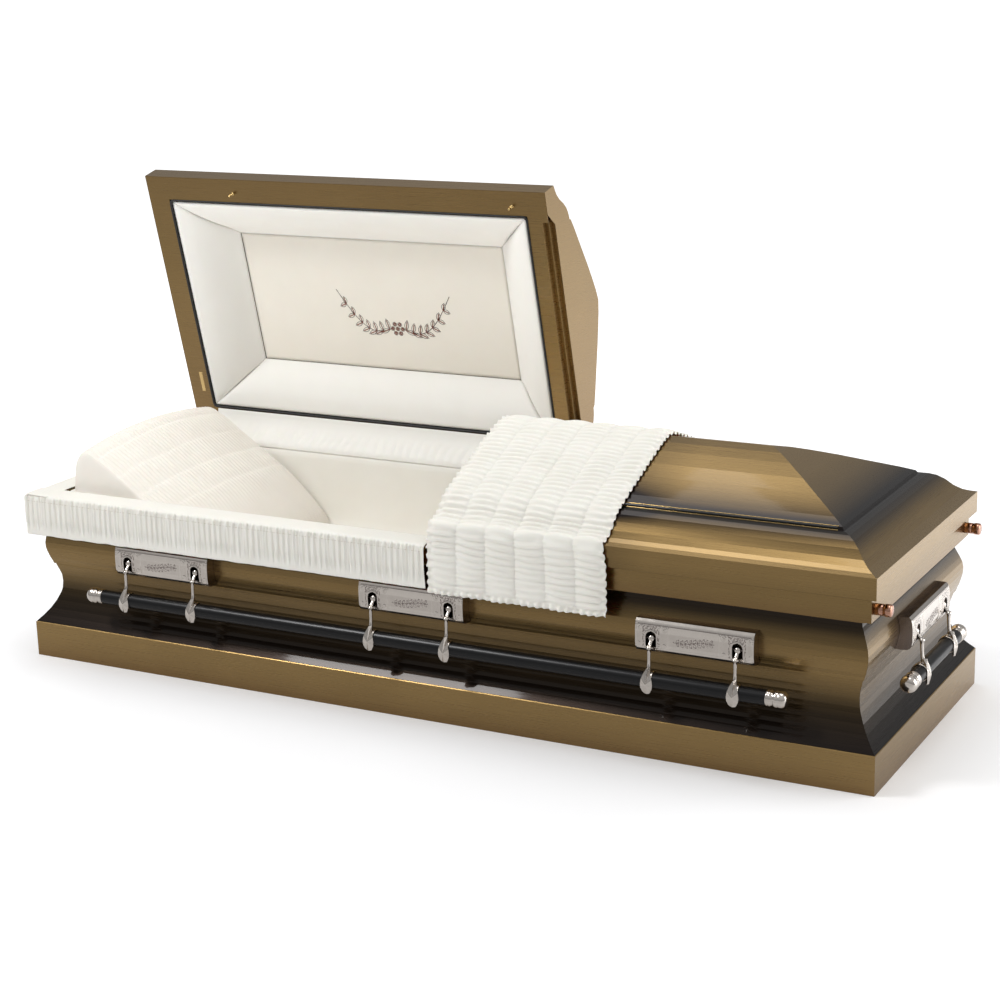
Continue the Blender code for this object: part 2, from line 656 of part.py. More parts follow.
def build_handles(finish):
    """Lugs, arms and bars. Each handle hangs from an empty on its joint's axis."""
    lug_mesh = lug()
    arm_mesh = arm()
    tip = bar_tip()
    back_tip = mirrored(tip)
    side_lugs = [("1", -LUG_SPACING), ("2", 0.0), ("3", LUG_SPACING)]
    sides = [
        ("front", (0, -HALF_WIDTH), 0, side_lugs, SIDE_BAR_HALF),
        ("back", (0, HALF_WIDTH), 180, side_lugs, SIDE_BAR_HALF),
        ("head", (-HALF_LENGTH, 0), -90, [("1", 0.0)], END_BAR_HALF),
        ("foot", (HALF_LENGTH, 0), 90, [("1", 0.0)], END_BAR_HALF),
    ]
    for side, (x, y), turn, lugs, half_length in sides:
        rotation = (0, 0, math.radians(turn))
        face = axis_empty(f"{side}_face", (x, y, 0), rotation)
        inward = Matrix.Rotation(rotation[2], 3, "Z") @ Vector((0, PIVOT_INSET, 0))
        pivot = axis_empty(f"{side}_handle_pivot", Vector((x, y, PIVOT_Z)) + inward, rotation)
        for number, along in lugs:
            place(f"{side}_lug_{number}", lug_mesh, finish["nickel"], face, (along, 0, 0))
            for letter, step in (("a", -ARM_OFFSET), ("b", ARM_OFFSET)):
                name = f"{side}_arm_{number}{letter}"
                place(name, arm_mesh, finish["nickel"], pivot, (along + step, 0, 0))
        tube_half = half_length - TIP_LENGTH - GAP
        place(f"{side}_bar", bar_tube(tube_half), finish["bar"], pivot, (0, -BAR_OUT, -BAR_DROP))
        root = tube_half + GAP
        place(f"{side}_bar_tip_a", back_tip, finish["nickel"], pivot, (-root, -BAR_OUT, -BAR_DROP))
        place(f"{side}_bar_tip_b", tip, finish["nickel"], pivot, (root, -BAR_OUT, -BAR_DROP))


def smooth_round_pieces():
    for item in bpy.data.objects:
        if item.type == "MESH":
            item.data.shade_smooth()
            item.data.set_sharp_from_angle(angle=math.radians(35))


def main():
    clear_scene()
    finish = make_materials()
    build_body(finish)
    build_lids(finish)
    build_handles(finish)
    smooth_round_pieces()
    bpy.context.view_layer.update()


main()
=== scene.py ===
import json
import math

import bpy
from mathutils import Matrix, Vector, noise


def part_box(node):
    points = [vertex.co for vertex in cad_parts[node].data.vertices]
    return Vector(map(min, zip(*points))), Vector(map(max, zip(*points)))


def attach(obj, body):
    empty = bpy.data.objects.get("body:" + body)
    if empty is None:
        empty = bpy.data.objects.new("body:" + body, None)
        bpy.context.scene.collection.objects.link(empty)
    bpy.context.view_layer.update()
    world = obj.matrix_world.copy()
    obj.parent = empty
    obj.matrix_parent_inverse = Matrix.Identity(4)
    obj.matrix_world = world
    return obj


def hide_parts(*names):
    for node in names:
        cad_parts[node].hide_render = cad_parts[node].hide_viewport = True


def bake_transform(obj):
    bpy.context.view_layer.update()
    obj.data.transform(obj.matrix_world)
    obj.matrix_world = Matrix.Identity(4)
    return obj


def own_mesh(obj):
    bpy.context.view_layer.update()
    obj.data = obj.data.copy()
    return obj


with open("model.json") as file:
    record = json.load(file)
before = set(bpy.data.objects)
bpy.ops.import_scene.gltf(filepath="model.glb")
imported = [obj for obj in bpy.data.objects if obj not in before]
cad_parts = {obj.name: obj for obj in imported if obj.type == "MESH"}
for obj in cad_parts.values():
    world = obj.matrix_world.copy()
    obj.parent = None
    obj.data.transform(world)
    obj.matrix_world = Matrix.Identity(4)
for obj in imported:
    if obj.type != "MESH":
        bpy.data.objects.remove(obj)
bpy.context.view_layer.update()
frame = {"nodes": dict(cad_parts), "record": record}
NODES = frame["nodes"]

# Driving sizes and the lid's hinge, from the frame, in metres
HALF_LENGTH, HALF_WIDTH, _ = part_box("base_moulding")[1]
JOINTS = {joint["name"]: joint for joint in frame["record"]["behaviour"]["joints"]}
HINGE = Vector(JOINTS["head_lid_hinge"]["pos_m"])
OPEN = math.radians(JOINTS["head_lid_hinge"]["range_deg"][0])
LID_OPENED = Matrix.Translation(HINGE) @ Matrix.Rotation(OPEN, 4, "X") @ Matrix.Translation(-HINGE)
RIM_PLANE = 0.405


# Numbers and curves

def smooth(low, high, x):
    """A soft step from 0 at low to 1 at high."""
    t = max(0.0, min(1.0, (x - low) / (high - low)))
    return t * t * (3 - 2 * t)


def noise3(x, y, z=0.0):
    return noise.noise(Vector((x, y, z)))


def wave(place, pitch, drift=0.0):
    return math.sin(2 * math.pi * place / pitch + drift)


def even_steps(start, end, count):
    return [start + (end - start) * k / count for k in range(count + 1)]


def ring(radius, sides):
    turns = [2 * math.pi * k / sides for k in range(sides)]
    return [(radius * math.cos(t), radius * math.sin(t)) for t in turns]


def curve_value(a, b, c, d, t):
    """A smooth curve's value between b and c, with a before them and d after them."""
    value = 2 * b + (c - a) * t
    value += (2 * a - 5 * b + 4 * c - d) * t * t
    value += (3 * b - a - 3 * c + d) * t ** 3
    return 0.5 * value


def between(a, b, t):
    return tuple(p + (q - p) * t for p, q in zip(a, b))


def normals(points):
    """The direction across a polyline at each of its points."""
    made = []
    for k in range(len(points)):
        a, b = points[max(k - 1, 0)], points[min(k + 1, len(points) - 1)]
        length = math.dist(a, b) or 1
        made.append(((a[1] - b[1]) / length, (b[0] - a[0]) / length))
    return made


def resample(points, count):
    """Points at even arc steps along a polyline, as (point, normal, arc length so far)."""
    arcs = [0.0]
    for a, b in zip(points, points[1:]):
        arcs.append(arcs[-1] + math.dist(a, b))
    steps = even_steps(0.0, arcs[-1], count - 1)
    places = []
    segment = 0
    for s in steps:
        while segment < len(points) - 2 and arcs[segment + 1] < s:
            segment += 1
        length = arcs[segment + 1] - arcs[segment]
        t = (s - arcs[segment]) / length if length else 0
        places.append(between(points[segment], points[segment + 1], t))
    return list(zip(places, normals(places), steps))


def spline(points, count):
    """As resample, but along a smooth curve through the points."""
    ends = [points[0], *points, points[-1]]
    fine = []
    for near in zip(ends, ends[1:], ends[2:], ends[3:]):
        for t in even_steps(0, 1, 12)[:-1]:
            fine.append(tuple(curve_value(*values, t) for values in zip(*near)))
    return resample([*fine, points[-1]], count)


# Meshes

def grid(rows, wrap_rows=False, wrap_columns=False, skip=None):
    """Vertices and faces for rows of points, without the cells that skip names."""
    across = len(rows[0])
    vertices = [p for row in rows for p in row]
    faces = []
    for i in range(len(rows) - (0 if wrap_rows else 1)):
        for j in range(across - (0 if wrap_columns else 1)):
            if skip and skip(i, j):
                continue
            ii, jj = (i + 1) % len(rows), (j + 1) % across
            faces.append((i * across + j, i * across + jj, ii * across + jj, ii * across + j))
    return vertices, faces


def lathe(profile, sides=40, closed=False):
    """Turned about X. Profile points are (x, radius)."""
    rows = [[(x, y, z) for y, z in ring(r, sides)] for x, r in profile]
    vertices, faces = grid(rows, wrap_rows=closed, wrap_columns=True)
    if not closed:
        last = (len(rows) - 1) * sides
        faces += [tuple(range(sides))[::-1], tuple(range(last, last + sides))]
    return vertices, faces


def shifted(shape, x=0.0, y=0.0, z=0.0):
    vertices, faces = shape
    return [(a + x, b + y, c + z) for a, b, c in vertices], faces


def join_parts(parts):
    vertices, faces = [], []
    for part_vertices, part_faces in parts:
        start = len(vertices)
        vertices += list(part_vertices)
        faces += [tuple(k + start for k in face) for face in part_faces]
    return vertices, faces


def moved(shape, matrix):
    vertices, faces = shape
    return [matrix @ Vector(v) for v in vertices], faces


def on_lid(shape):
    """A shape made for the closed head lid, moved to the open one."""
    return moved(shape, LID_OPENED)


def link(name, data, matrix=None):
    item = bpy.data.objects.new(name, data)
    bpy.context.scene.collection.objects.link(item)
    if matrix:
        item.matrix_world = matrix
    return item


def mesh_object(name, shape, material, shade=True):
    vertices, faces = shape
    mesh = bpy.data.meshes.new(name)
    mesh.from_pydata([tuple(v) for v in vertices], [], faces)
    mesh.validate()
    mesh.update()
    mesh.materials.append(material)
    if shade:
        mesh.shade_smooth()
    return link(name, mesh)


def kept_mesh(item):
    """The mesh of an object that was only made as a pattern."""
    mesh = item.data
    bpy.data.objects.remove(item)
    return mesh


def apply_modifiers(item):
    bpy.context.view_layer.update()
    evaluated = item.evaluated_get(bpy.context.evaluated_depsgraph_get())
    made = bpy.data.meshes.new_from_object(evaluated)
    item.modifiers.clear()
    item.data = made


def thicken(item, thickness, offset):
    """Gives a sheet its thickness, on one side (offset 1) or on both (offset 0)."""
    solid = item.modifiers.new("thickness", "SOLIDIFY")
    solid.thickness = thickness
    solid.offset = offset
    apply_modifiers(item)


def dress(piece, body, slot, *replaced):
    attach(piece, body)
    if replaced:
        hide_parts(*replaced)


# Shader parts

def start_material(name):
    made = bpy.data.materials.new(name)
    made.use_nodes = True
    tree = made.node_tree
    return made, tree, tree.nodes["Principled BSDF"]


def feed(tree, node, values):
    """Sets a node's inputs, each to another node's output, a number or a colour."""
    for key, value in values.items():
        socket = node.inputs[key]
        if hasattr(value, "is_linked"):
            tree.links.new(value, socket)
        elif hasattr(value, "__len__"):
            socket.default_value = (*value, 1.0)
        else:
            socket.default_value = value


def add(tree, kind, **settings):
    """A new shader node. Each setting is one of its inputs, or else an attribute."""
    node = tree.nodes.new("ShaderNode" + kind)
    for key, value in settings.items():
        if key in node.inputs:
            feed(tree, node, {key: value})
        else:
            setattr(node, key, value)
    return node


def object_point(tree):
    return add(tree, "TexCoord").outputs["Object"]


def one_axis(tree, vector, axis):
    return add(tree, "SeparateXYZ", Vector=vector).outputs[axis]


def stretched_point(tree, scale):
    node = add(tree, "Mapping", Vector=object_point(tree))
    node.inputs["Scale"].default_value = scale
    return node.outputs["Vector"]


def noise_node(tree, scale, detail=3.0, stretch=(1, 1, 1), roughness=0.5):
    place = stretched_point(tree, stretch)
    node = add(tree, "TexNoise", Scale=scale, Detail=detail, Roughness=roughness, Vector=place)
    return node.outputs["Fac"]


def map_range(tree, value, start=(0.0, 1.0), end=(0.0, 1.0)):
    """A value moved from the start range to the end range."""
    node = add(tree, "MapRange", Value=value)
    names = ("From Min", "From Max", "To Min", "To Max")
    feed(tree, node, dict(zip(names, (*start, *end))))
    return node.outputs["Result"]


def ramp(tree, value, stops):
    """A grey ramp. stops are (position, shade)."""
    node = add(tree, "ValToRGB", Fac=value)
    elements = node.color_ramp.elements
    elements.remove(elements[1])
    elements[0].position = stops[0][0]
    for position, _ in stops[1:]:
        elements.new(position)
    for element, (_, shade) in zip(elements, stops):
        element.color = (shade, shade, shade, 1.0)
    return node.outputs["Color"]


def shade_along(tree, axis, shades):
    """A shade that changes along an axis. shades are (place in metres, shade)."""
    low, high = shades[0][0], shades[-1][0]
    level = map_range(tree, one_axis(tree, object_point(tree), axis), (low, high))
    return ramp(tree, level, [((place - low) / (high - low), shade) for place, shade in shades])


def mix_colour(tree, factor, a, b, blend="MIX"):
    node = add(tree, "Mix", data_type="RGBA", blend_type=blend)
    feed(tree, node, {0: factor, 6: a, 7: b})
    return node.outputs[2]


def arithmetic(tree, operation, a, b=0.0):
    node = add(tree, "Math", operation=operation)
    feed(tree, node, {0: a, 1: b})
    return node.outputs[0]


def bump(tree, shader, height, strength, distance):
    node = add(tree, "Bump", Strength=strength, Distance=distance, Height=height)
    feed(tree, shader, {"Normal": node.outputs["Normal"]})


def tint(colour, factor):
    return [c * factor for c in colour]


# Kinds of material

GRAIN_FINE, GRAIN_LONG = 900, 9
GRAIN_SHARE = 0.16
END_FACING = 0.55
BRUSHED_ROUGHNESS = (0.21, 0.37)
WEAVE_SCALE = 238.73186


def brush_grain(tree):
    """Fine streaks that run along the sides and tops, and across the end faces."""
    facing = one_axis(tree, add(tree, "NewGeometry").outputs["Normal"], "X")
    end_face = arithmetic(tree, "GREATER_THAN", arithmetic(tree, "ABSOLUTE", facing), END_FACING)
    along = noise_node(tree, 1.0, 2.0, (GRAIN_LONG, GRAIN_FINE, GRAIN_FINE), 0.6)
    across = noise_node(tree, 1.0, 2.0, (GRAIN_FINE, GRAIN_LONG, GRAIN_FINE), 0.6)
    return mix_colour(tree, end_face, along, across)


def brushed_metal(name, base, dark, heights, lengths=None):
    """Brushed metal under a gloss coat, darker in bands of shaded paint, and on the shell also of painted
    shade. heights and lengths are (place in metres, share of dark).
    """
    made, tree, shader = start_material(name)
    shade = shade_along(tree, "Z", heights)
    if lengths:
        shade = mix_colour(tree, 1.0, shade, shade_along(tree, "X", lengths), "ADD")
    grain = brush_grain(tree)
    varied = mix_colour(tree, noise_node(tree, 5.0, 2.0), tint(base, 0.9), tint(base, 1.1))
    # Darker by the share of dark: shaded paint, and painted shade on the shell.
    shaded_colour = mix_colour(tree, shade, varied, dark)
    streaks = ramp(tree, grain, [(0.3, 0.45), (0.7, 1.0)])
    feed(tree, shader, {
        "Base Color": mix_colour(tree, GRAIN_SHARE, shaded_colour, streaks, "MULTIPLY"),
        "Metallic": 1.0,
        "Roughness": map_range(tree, grain, end=BRUSHED_ROUGHNESS),
        "Coat Weight": 0.28,
        "Coat Roughness": 0.045,
    })
    bump(tree, shader, grain, 0.1, 0.0002)
    return made


def plated_metal(name, colour, roughness):
    made, tree, shader = start_material(name)
    cloud = noise_node(tree, 60.0, 4.0)
    feed(tree, shader, {
        "Base Color": mix_colour(tree, cloud, tint(colour, 0.82), colour),
        "Metallic": 1.0,
        "Roughness": map_range(tree, cloud, end=(roughness * 0.7, roughness * 1.5)),
    })
    bump(tree, shader, noise_node(tree, 900.0, 2.0), 0.05, 0.0001)
    return made


def woven_threads(tree):
    """The height of crossed threads."""
    place = stretched_point(tree, (1, 1, 1))
    threads = []
    for way in ("X", "Z"):
        node = add(tree, "TexWave", Scale=WEAVE_SCALE, Distortion=0.6, Vector=place)
        node.bands_direction = way
        threads.append(node.outputs["Fac"])
    return arithmetic(tree, "MAXIMUM", *threads)


def cloth(name, colour, shadow, sheen=0.35, rough=0.72):
    made, tree, shader = start_material(name)
    weave = woven_threads(tree)
    feed(tree, shader, {
        "Base Color": mix_colour(tree, noise_node(tree, 14.0), shadow, colour),
        "Roughness": rough,
        "Sheen Weight": sheen,
        "Sheen Roughness": 0.4,
        "Subsurface Weight": 0.06,
        "Subsurface Scale": 0.01,
    })
    bump(tree, shader, arithmetic(tree, "ADD", weave, noise_node(tree, 160.0)), 0.22, 0.0004)
    return made


def dull(name, colour, roughness, scale=220.0, metallic=0.0):
    made, tree, shader = start_material(name)
    cloud = noise_node(tree, scale, 4.0)
    feed(tree, shader, {
        "Base Color": mix_colour(tree, cloud, tint(colour, 0.8), tint(colour, 1.15)),
        "Metallic": metallic,
        "Roughness": roughness,
    })
    bump(tree, shader, cloud, 0.15, 0.0002)
    return made


# Metals

GOLD = (0.3, 0.196, 0.076)
PALE_GOLD = (0.345, 0.226, 0.088)
SHADE_BLACK = (0.014, 0.01, 0.009)
COPPER_BROWN = (0.17, 0.08, 0.04)

# Shell bands, as share of dark: the casket's shaded paint in the lower cove and under the top moulding. The
# lower band also reaches up to the handle bars as painted shade and painted reflection, standing in for the
# mirrored black bars and the shade under the lugs.
SHELL_SHADES = [
    (0.08, 1.0), (0.11, 0.97), (0.14, 0.9), (0.168, 0.72), (0.192, 0.42), (0.214, 0.12), (0.232, 0.0),
    (0.268, 0.0), (0.29, 0.12), (0.308, 0.5), (0.325, 0.88), (0.35, 1.0),
]
BASE_SHADES = [(0.0, 0.35), (0.02, 0.16), (0.06, 0.0), (0.086, 0.0)]
RIM_SHADES = [(0.34, 0.5), (0.356, 0.2), (0.38, 0.0), (0.4, 0.0)]
FOOT_LID_SHADES = [
    (0.405, 0.12), (0.43, 0.0), (0.455, 0.0), (0.472, 0.06), (0.486, 0.36), (0.499, 0.82), (0.508, 1.0),
    (0.519, 1.0), (0.53, 0.74), (0.548, 0.3), (0.57, 0.05), (0.605, 0.0),
]
FOOT_LID_LENGTH_SHADES = [(0.455, 0.3), (0.56, 0.0), (1.06, 0.0)]
HEAD_LID_SHADES = [(0.38, 0.35), (0.6, 0.1), (0.9, 0.0), (1.12, 0.1)]

shell_metal = brushed_metal("shell_bronze", GOLD, SHADE_BLACK, SHELL_SHADES)
base_metal = brushed_metal("base_bronze", PALE_GOLD, COPPER_BROWN, BASE_SHADES)
rim_metal = brushed_metal("rim_bronze", GOLD, COPPER_BROWN, RIM_SHADES)
foot_lid_metal = brushed_metal("foot_lid_bronze", PALE_GOLD, SHADE_BLACK, FOOT_LID_SHADES, FOOT_LID_LENGTH_SHADES)
head_lid_metal = brushed_metal("head_lid_bronze", GOLD, COPPER_BROWN, HEAD_LID_SHADES)
hinge_metal = plated_metal("hinge_bronze", (0.36, 0.25, 0.13), 0.35)
pan_metal = dull("pan_paint", (0.06, 0.055, 0.05), 0.5, 90.0, 0.6)
nickel = plated_metal("polished_nickel", (0.8, 0.74, 0.68), 0.13)
dark_nickel = plated_metal("shaded_nickel", (0.33, 0.28, 0.26), 0.2)
charcoal = dull("charcoal_bar", (0.012, 0.012, 0.013), 0.28, 300.0, 0.5)
copper = plated_metal("copper_tube", (0.62, 0.34, 0.24), 0.16)
brass = plated_metal("brass", (0.78, 0.55, 0.24), 0.2)

# Rubber, beads, cloths and threads

rubber = dull("dark_rubber", (0.02, 0.019, 0.019), 0.6)
bead_black = dull("black_bead", (0.006, 0.006, 0.006), 0.2, 500.0)
cream_cloth = cloth("cream_cloth", (0.95, 0.915, 0.85), (0.91, 0.865, 0.79))
panel_cloth = cloth("panel_cloth", (0.93, 0.88, 0.79), (0.89, 0.835, 0.74))
roll_cloth = cloth("roll_cloth", (0.95, 0.92, 0.87), (0.92, 0.885, 0.83), sheen=0.5, rough=0.55)
ivory_cloth = cloth("ivory_cloth", (0.88, 0.845, 0.78), (0.82, 0.78, 0.71))
thread_brown = dull("brown_thread", (0.055, 0.022, 0.014), 0.7, 900.0)
thread_red = dull("red_brown_thread", (0.24, 0.075, 0.045), 0.7, 900.0)
stitch = dull("ivory_thread", (0.62, 0.57, 0.48), 0.8, 900.0)


def paint(material, *nodes):
    for node in nodes:
        for socket in NODES[node].material_slots:
            socket.material = material


paint(shell_metal, "front_side_panel", "back_side_panel", "head_end_panel", "foot_end_panel")
paint(base_metal, "base_moulding")
paint(rim_metal, "top_moulding")
paint(pan_metal, "bottom_pan")
paint(foot_lid_metal, "foot_lid_shell", "foot_lid_rim")
paint(head_lid_metal, "head_lid_shell", "head_lid_rim")
paint(hinge_metal, "body_hinge_leaf", "head_lid_hinge_leaf", "foot_lid_hinge_leaf")
paint(dark_nickel, *[node for node in NODES if "lug" in node])


# The four sides. On each, X runs along the side and Y goes inwards.

SIDES = {
    "front": ((0.0, -HALF_WIDTH), 0.0),
    "back": ((0.0, HALF_WIDTH), math.pi),
    "head": ((-HALF_LENGTH, 0.0), -math.pi / 2),
    "foot": ((HALF_LENGTH, 0.0), math.pi / 2),
}


def side_matrix(side):
    (x, y), turn = SIDES[side]
    return Matrix.Translation((x, y, 0)) @ Matrix.Rotation(turn, 4, "Z")


def centre(node):
    low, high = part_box(node)
    return (Vector(low) + Vector(high)) / 2


def place_along(node, to_world):
    """Where a node's centre lies along its side."""
    return (to_world.inverted() @ centre(node)).x


def ends_along(node, to_world):
    """Where a node starts and ends along its side."""
    to_local = to_world.inverted()
    return sorted((to_local @ Vector(corner)).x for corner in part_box(node))


# Handles

PIVOT_INSET = 0.005
PIVOT_Z = JOINTS["front_handle_swing"]["pos_m"][2]
BAR_LOW, BAR_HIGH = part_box("front_bar")
BAR_Z = (BAR_LOW[2] + BAR_HIGH[2]) / 2
BAR_Y = (BAR_LOW[1] + BAR_HIGH[1]) / 2
BAR_RADIUS = (BAR_HIGH[1] - BAR_LOW[1]) / 2
BAR_OUT = JOINTS["front_handle_swing"]["pos_m"][1] - BAR_Y
BAR_DROP = PIVOT_Z - BAR_Z
TIP_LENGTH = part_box("front_bar_tip_b")[1][0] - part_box("front_bar_tip_b")[0][0]


def arm_ball():
    radius, face_x, face_radius = 0.0088, 0.0055, 0.0033
    profile = [(-face_x, face_radius)]
    for share in even_steps(0.22, 0.78, 12):
        t = math.pi * share
        profile.append((-radius * math.cos(t), radius * math.sin(t)))
    profile.append((face_x, face_radius))
    return lathe(profile, 28)


def arm_shank():
    """A neck, a ring collar and a slim shank down to the bar. Course is (y, z, radius)."""
    course = [
        (-0.003, -0.003, 0.0046), (-0.01, -0.0095, 0.0044), (-0.0136, -0.0132, 0.0042),
        (-0.014, -0.0138, 0.0064), (-0.0146, -0.0152, 0.007), (-0.015, -0.017, 0.007),
        (-0.0153, -0.0188, 0.0064), (-0.0155, -0.0196, 0.0044), (-0.0158, -0.026, 0.0042),
        (-0.0164, -0.04, 0.0037), (-0.0172, -0.052, 0.0038), (-0.02, -0.064, 0.0052),
    ]
    rows = [[(x, y + dy, z) for x, dy in ring(r, 20)] for y, z, r in course]
    return grid(rows, wrap_columns=True)


def arm_band():
    """The band that clasps the bar."""
    inner, outer, half = BAR_RADIUS + 0.0004, BAR_RADIUS + 0.0026, 0.0105
    shoulder, bevel = outer - 0.0008, 0.001
    section = [(-half, inner), (-half, shoulder), (-half + bevel, outer)]
    section += [(half - bevel, outer), (half, shoulder), (half, inner)]
    return shifted(lathe(section, 40, True), y=-BAR_OUT, z=-BAR_DROP)


def arm_drop():
    """A faceted drop in front of the bar, with a ridge down its middle."""
    front = -BAR_OUT - BAR_RADIUS
    right = [
        (0.0042, front + 0.011, -0.056), (0.0075, front + 0.003, -0.068), (0.012, front - 0.001, -0.08),
        (0.0136, front - 0.0016, -0.0905), (0.0128, front - 0.0016, -0.0985),
        (0.009, front - 0.0006, -0.1065), (0.0055, front + 0.002, -0.111),
    ]
    outline = right + [(-x, y, z) for x, y, z in reversed(right)]
    back = [(x * 0.9, y + 0.004, z) for x, y, z in outline]
    ridge = [(0, front + 0.004, -0.056), (0, front - 0.0062, -0.09), (0, front - 0.001, -0.111)]
    count, half = len(outline), len(right)
    top, low, foot = range(2 * count, 2 * count + 3)
    faces = [(0, top, low, 1)]
    faces += [(i, low, i + 1) for i in range(1, half - 1)]
    faces += [(half - 1, low, foot), (half, foot, low)]
    faces += [(i, low, i + 1) for i in range(half, count - 2)]
    faces.append((count - 2, low, top, count - 1))
    for i in range(count):
        j = (i + 1) % count
        faces.append((i, j, count + j, count + i))
    faces.append(tuple(range(2 * count - 1, count - 1, -1)))
    return outline + back + ridge, faces


def arm_pattern():
    """An arm about its pivot, rounded but for its faceted drop."""
    rounded = join_parts([arm_ball(), arm_shank(), arm_band()])
    item = mesh_object("arm_pattern", join_parts([rounded, arm_drop()]), nickel)
    for polygon in item.data.polygons:
        polygon.use_smooth = polygon.index < len(rounded[1])
    return kept_mesh(item)


def tip_pattern():
    """A ribbed bar tip with its root at the origin, pointing along X."""
    profile = [
        (0.0, 0.0165), (0.0008, 0.0178), (0.0046, 0.0178), (0.0054, 0.017), (0.0062, 0.0178), (0.01, 0.0178),
        (0.0112, 0.0164), (0.016, 0.016), (0.0174, 0.0172), (0.019, 0.0184), (0.025, 0.0187),
        (0.0262, 0.018), (0.0274, 0.0187), (0.033, 0.0185), (0.0375, 0.0172), (0.041, 0.0148),
        (0.0432, 0.0118), (0.0444, 0.007), (TIP_LENGTH, 0.002),
    ]
    return kept_mesh(mesh_object("tip_pattern", lathe(profile, 48), nickel))


def place_arm(node, to_world, mesh):
    spot = Matrix.Translation((place_along(node, to_world), PIVOT_INSET, PIVOT_Z))
    return link(node.replace("arm", "handle_arm"), mesh, to_world @ spot)


def place_tip(node, to_world, mesh):
    start, end = ends_along(node, to_world)
    root, turn = (start, 0) if start > 0 else (end, math.pi)
    spot = Matrix.Translation((root, PIVOT_INSET - BAR_OUT, BAR_Z)) @ Matrix.Rotation(turn, 4, "Z")
    return link(node.replace("bar_tip", "handle_tip"), mesh, to_world @ spot)


def handle_bar(side, to_world):
    start, end = ends_along(f"{side}_bar", to_world)
    inner = BAR_RADIUS - 0.002
    tube = lathe([(start, inner), (start, BAR_RADIUS), (end, BAR_RADIUS), (end, inner)], 48)
    shape = moved(shifted(tube, y=PIVOT_INSET - BAR_OUT, z=BAR_Z), to_world)
    piece = mesh_object(f"{side}_handle_bar", shape, charcoal)
    piece.data.set_sharp_from_angle(angle=math.radians(40))
    return piece


arm_mesh = arm_pattern()
tip_mesh = tip_pattern()
for side in SIDES:
    to_world = side_matrix(side)
    for node in sorted(NODES):
        if node.startswith(f"{side}_arm_"):
            dress(place_arm(node, to_world, arm_mesh), f"{side}_handle", "nickel", node)
        if node.startswith(f"{side}_bar_tip_"):
            dress(place_tip(node, to_world, tip_mesh), f"{side}_handle", "nickel", node)
    dress(handle_bar(side, to_world), f"{side}_handle", "bar", f"{side}_bar")


# Relief on the lugs, at x along the lug and z above the floor

LUG_HALF = 0.1305
FACE_LOW, FACE_HIGH = 0.24, 0.3
ARM_OFFSET = 0.0949
ARCH_HALF, ARCH_LOW, ARCH_SPRING = 0.0119, 0.2491, 0.2705
ARCH_FRAME, ARCH_CLEAR = 0.0028, 0.003
PICTURE_HALF = 0.05
BORDER = 0.0062
DIVIDERS = (0.056, 0.0745, 0.115)
DIVIDER_HALF = 0.0016
PEBBLE_SCALE = 420
SPRIG_REACH = 0.046
SPRIG_Z = 0.2675
LUG_FRONT = [
    (0.007, 0.305), (0.0025, 0.3), (0.0005, 0.292), (-0.001, 0.28), (-0.001, 0.255), (0.0005, 0.245),
    (0.0045, 0.2375), (0.01, 0.2345),
]


def inside_arch(x, z, margin=0.0):
    """Whether a point lies in the arched opening round an arm."""
    across = abs(abs(x) - ARM_OFFSET)
    if z < ARCH_LOW - margin:
        return False
    if z < ARCH_SPRING:
        return across < ARCH_HALF + margin
    return across ** 2 + (z - ARCH_SPRING) ** 2 < (ARCH_HALF + margin) ** 2


def from_edge(x, z):
    return min(LUG_HALF - abs(x), FACE_HIGH - z, z - FACE_LOW)


def pebbles(x, z):
    return noise3(x * PEBBLE_SCALE, z * PEBBLE_SCALE, 3.0)


def scroll(x, z, cx, cz, turn):
    """Height of a small spiral scroll round a point, from 0 to 1."""
    size = 0.0068
    dx, dz = (x - cx) * turn, z - cz
    r = math.hypot(dx, dz)
    if r > size:
        return 0.0
    coil = math.cos(2 * math.pi * r / (size * 0.55) - math.atan2(dz, dx))
    return 0.5 * (1 + coil) * smooth(size, size * 0.8, r)


def stem_height(x):
    return SPRIG_Z + 0.004 * math.sin(x / SPRIG_REACH * 2.2)


def on_leaf(x, z, k, way):
    """Whether a point lies on the outline or the vein of the sprig's leaf number k."""
    root = -0.038 + 0.0092 * k
    dx = x - root
    dz = (z - stem_height(root)) * way
    u = dx * 0.62 + dz * 0.78
    v = -dx * 0.78 + dz * 0.62
    length = 0.0125 - 0.0007 * abs(k - 4)
    if not 0 < u < length:
        return False
    width = 0.0026 * math.sin(math.pi * u / length)
    return abs(abs(v) - width) < 0.00055 or abs(v) < 0.0003


def sprig(x, z):
    """Whether a point lies on a line of the sprig, a curved stem with nine pairs of leaves."""
    if abs(x) > SPRIG_REACH:
        return False
    if abs(z - stem_height(x)) < 0.0007:
        return True
    return any(on_leaf(x, z, k, way) for k in range(9) for way in (-1, 1))


def border_relief(x, z, edge):
    """Height of the beaded border and the fillet inside it."""
    if 0.001 < edge < 0.0042:
        along = x if abs(x) < LUG_HALF - 0.0045 else z
        bead = abs(math.sin(math.pi * along / 0.0042))
        return 0.0013 * math.sin(math.pi * (edge - 0.001) / 0.0032) * (0.35 + 0.65 * bead)
    return 0.0006 if 0.0048 < edge < BORDER else 0.0


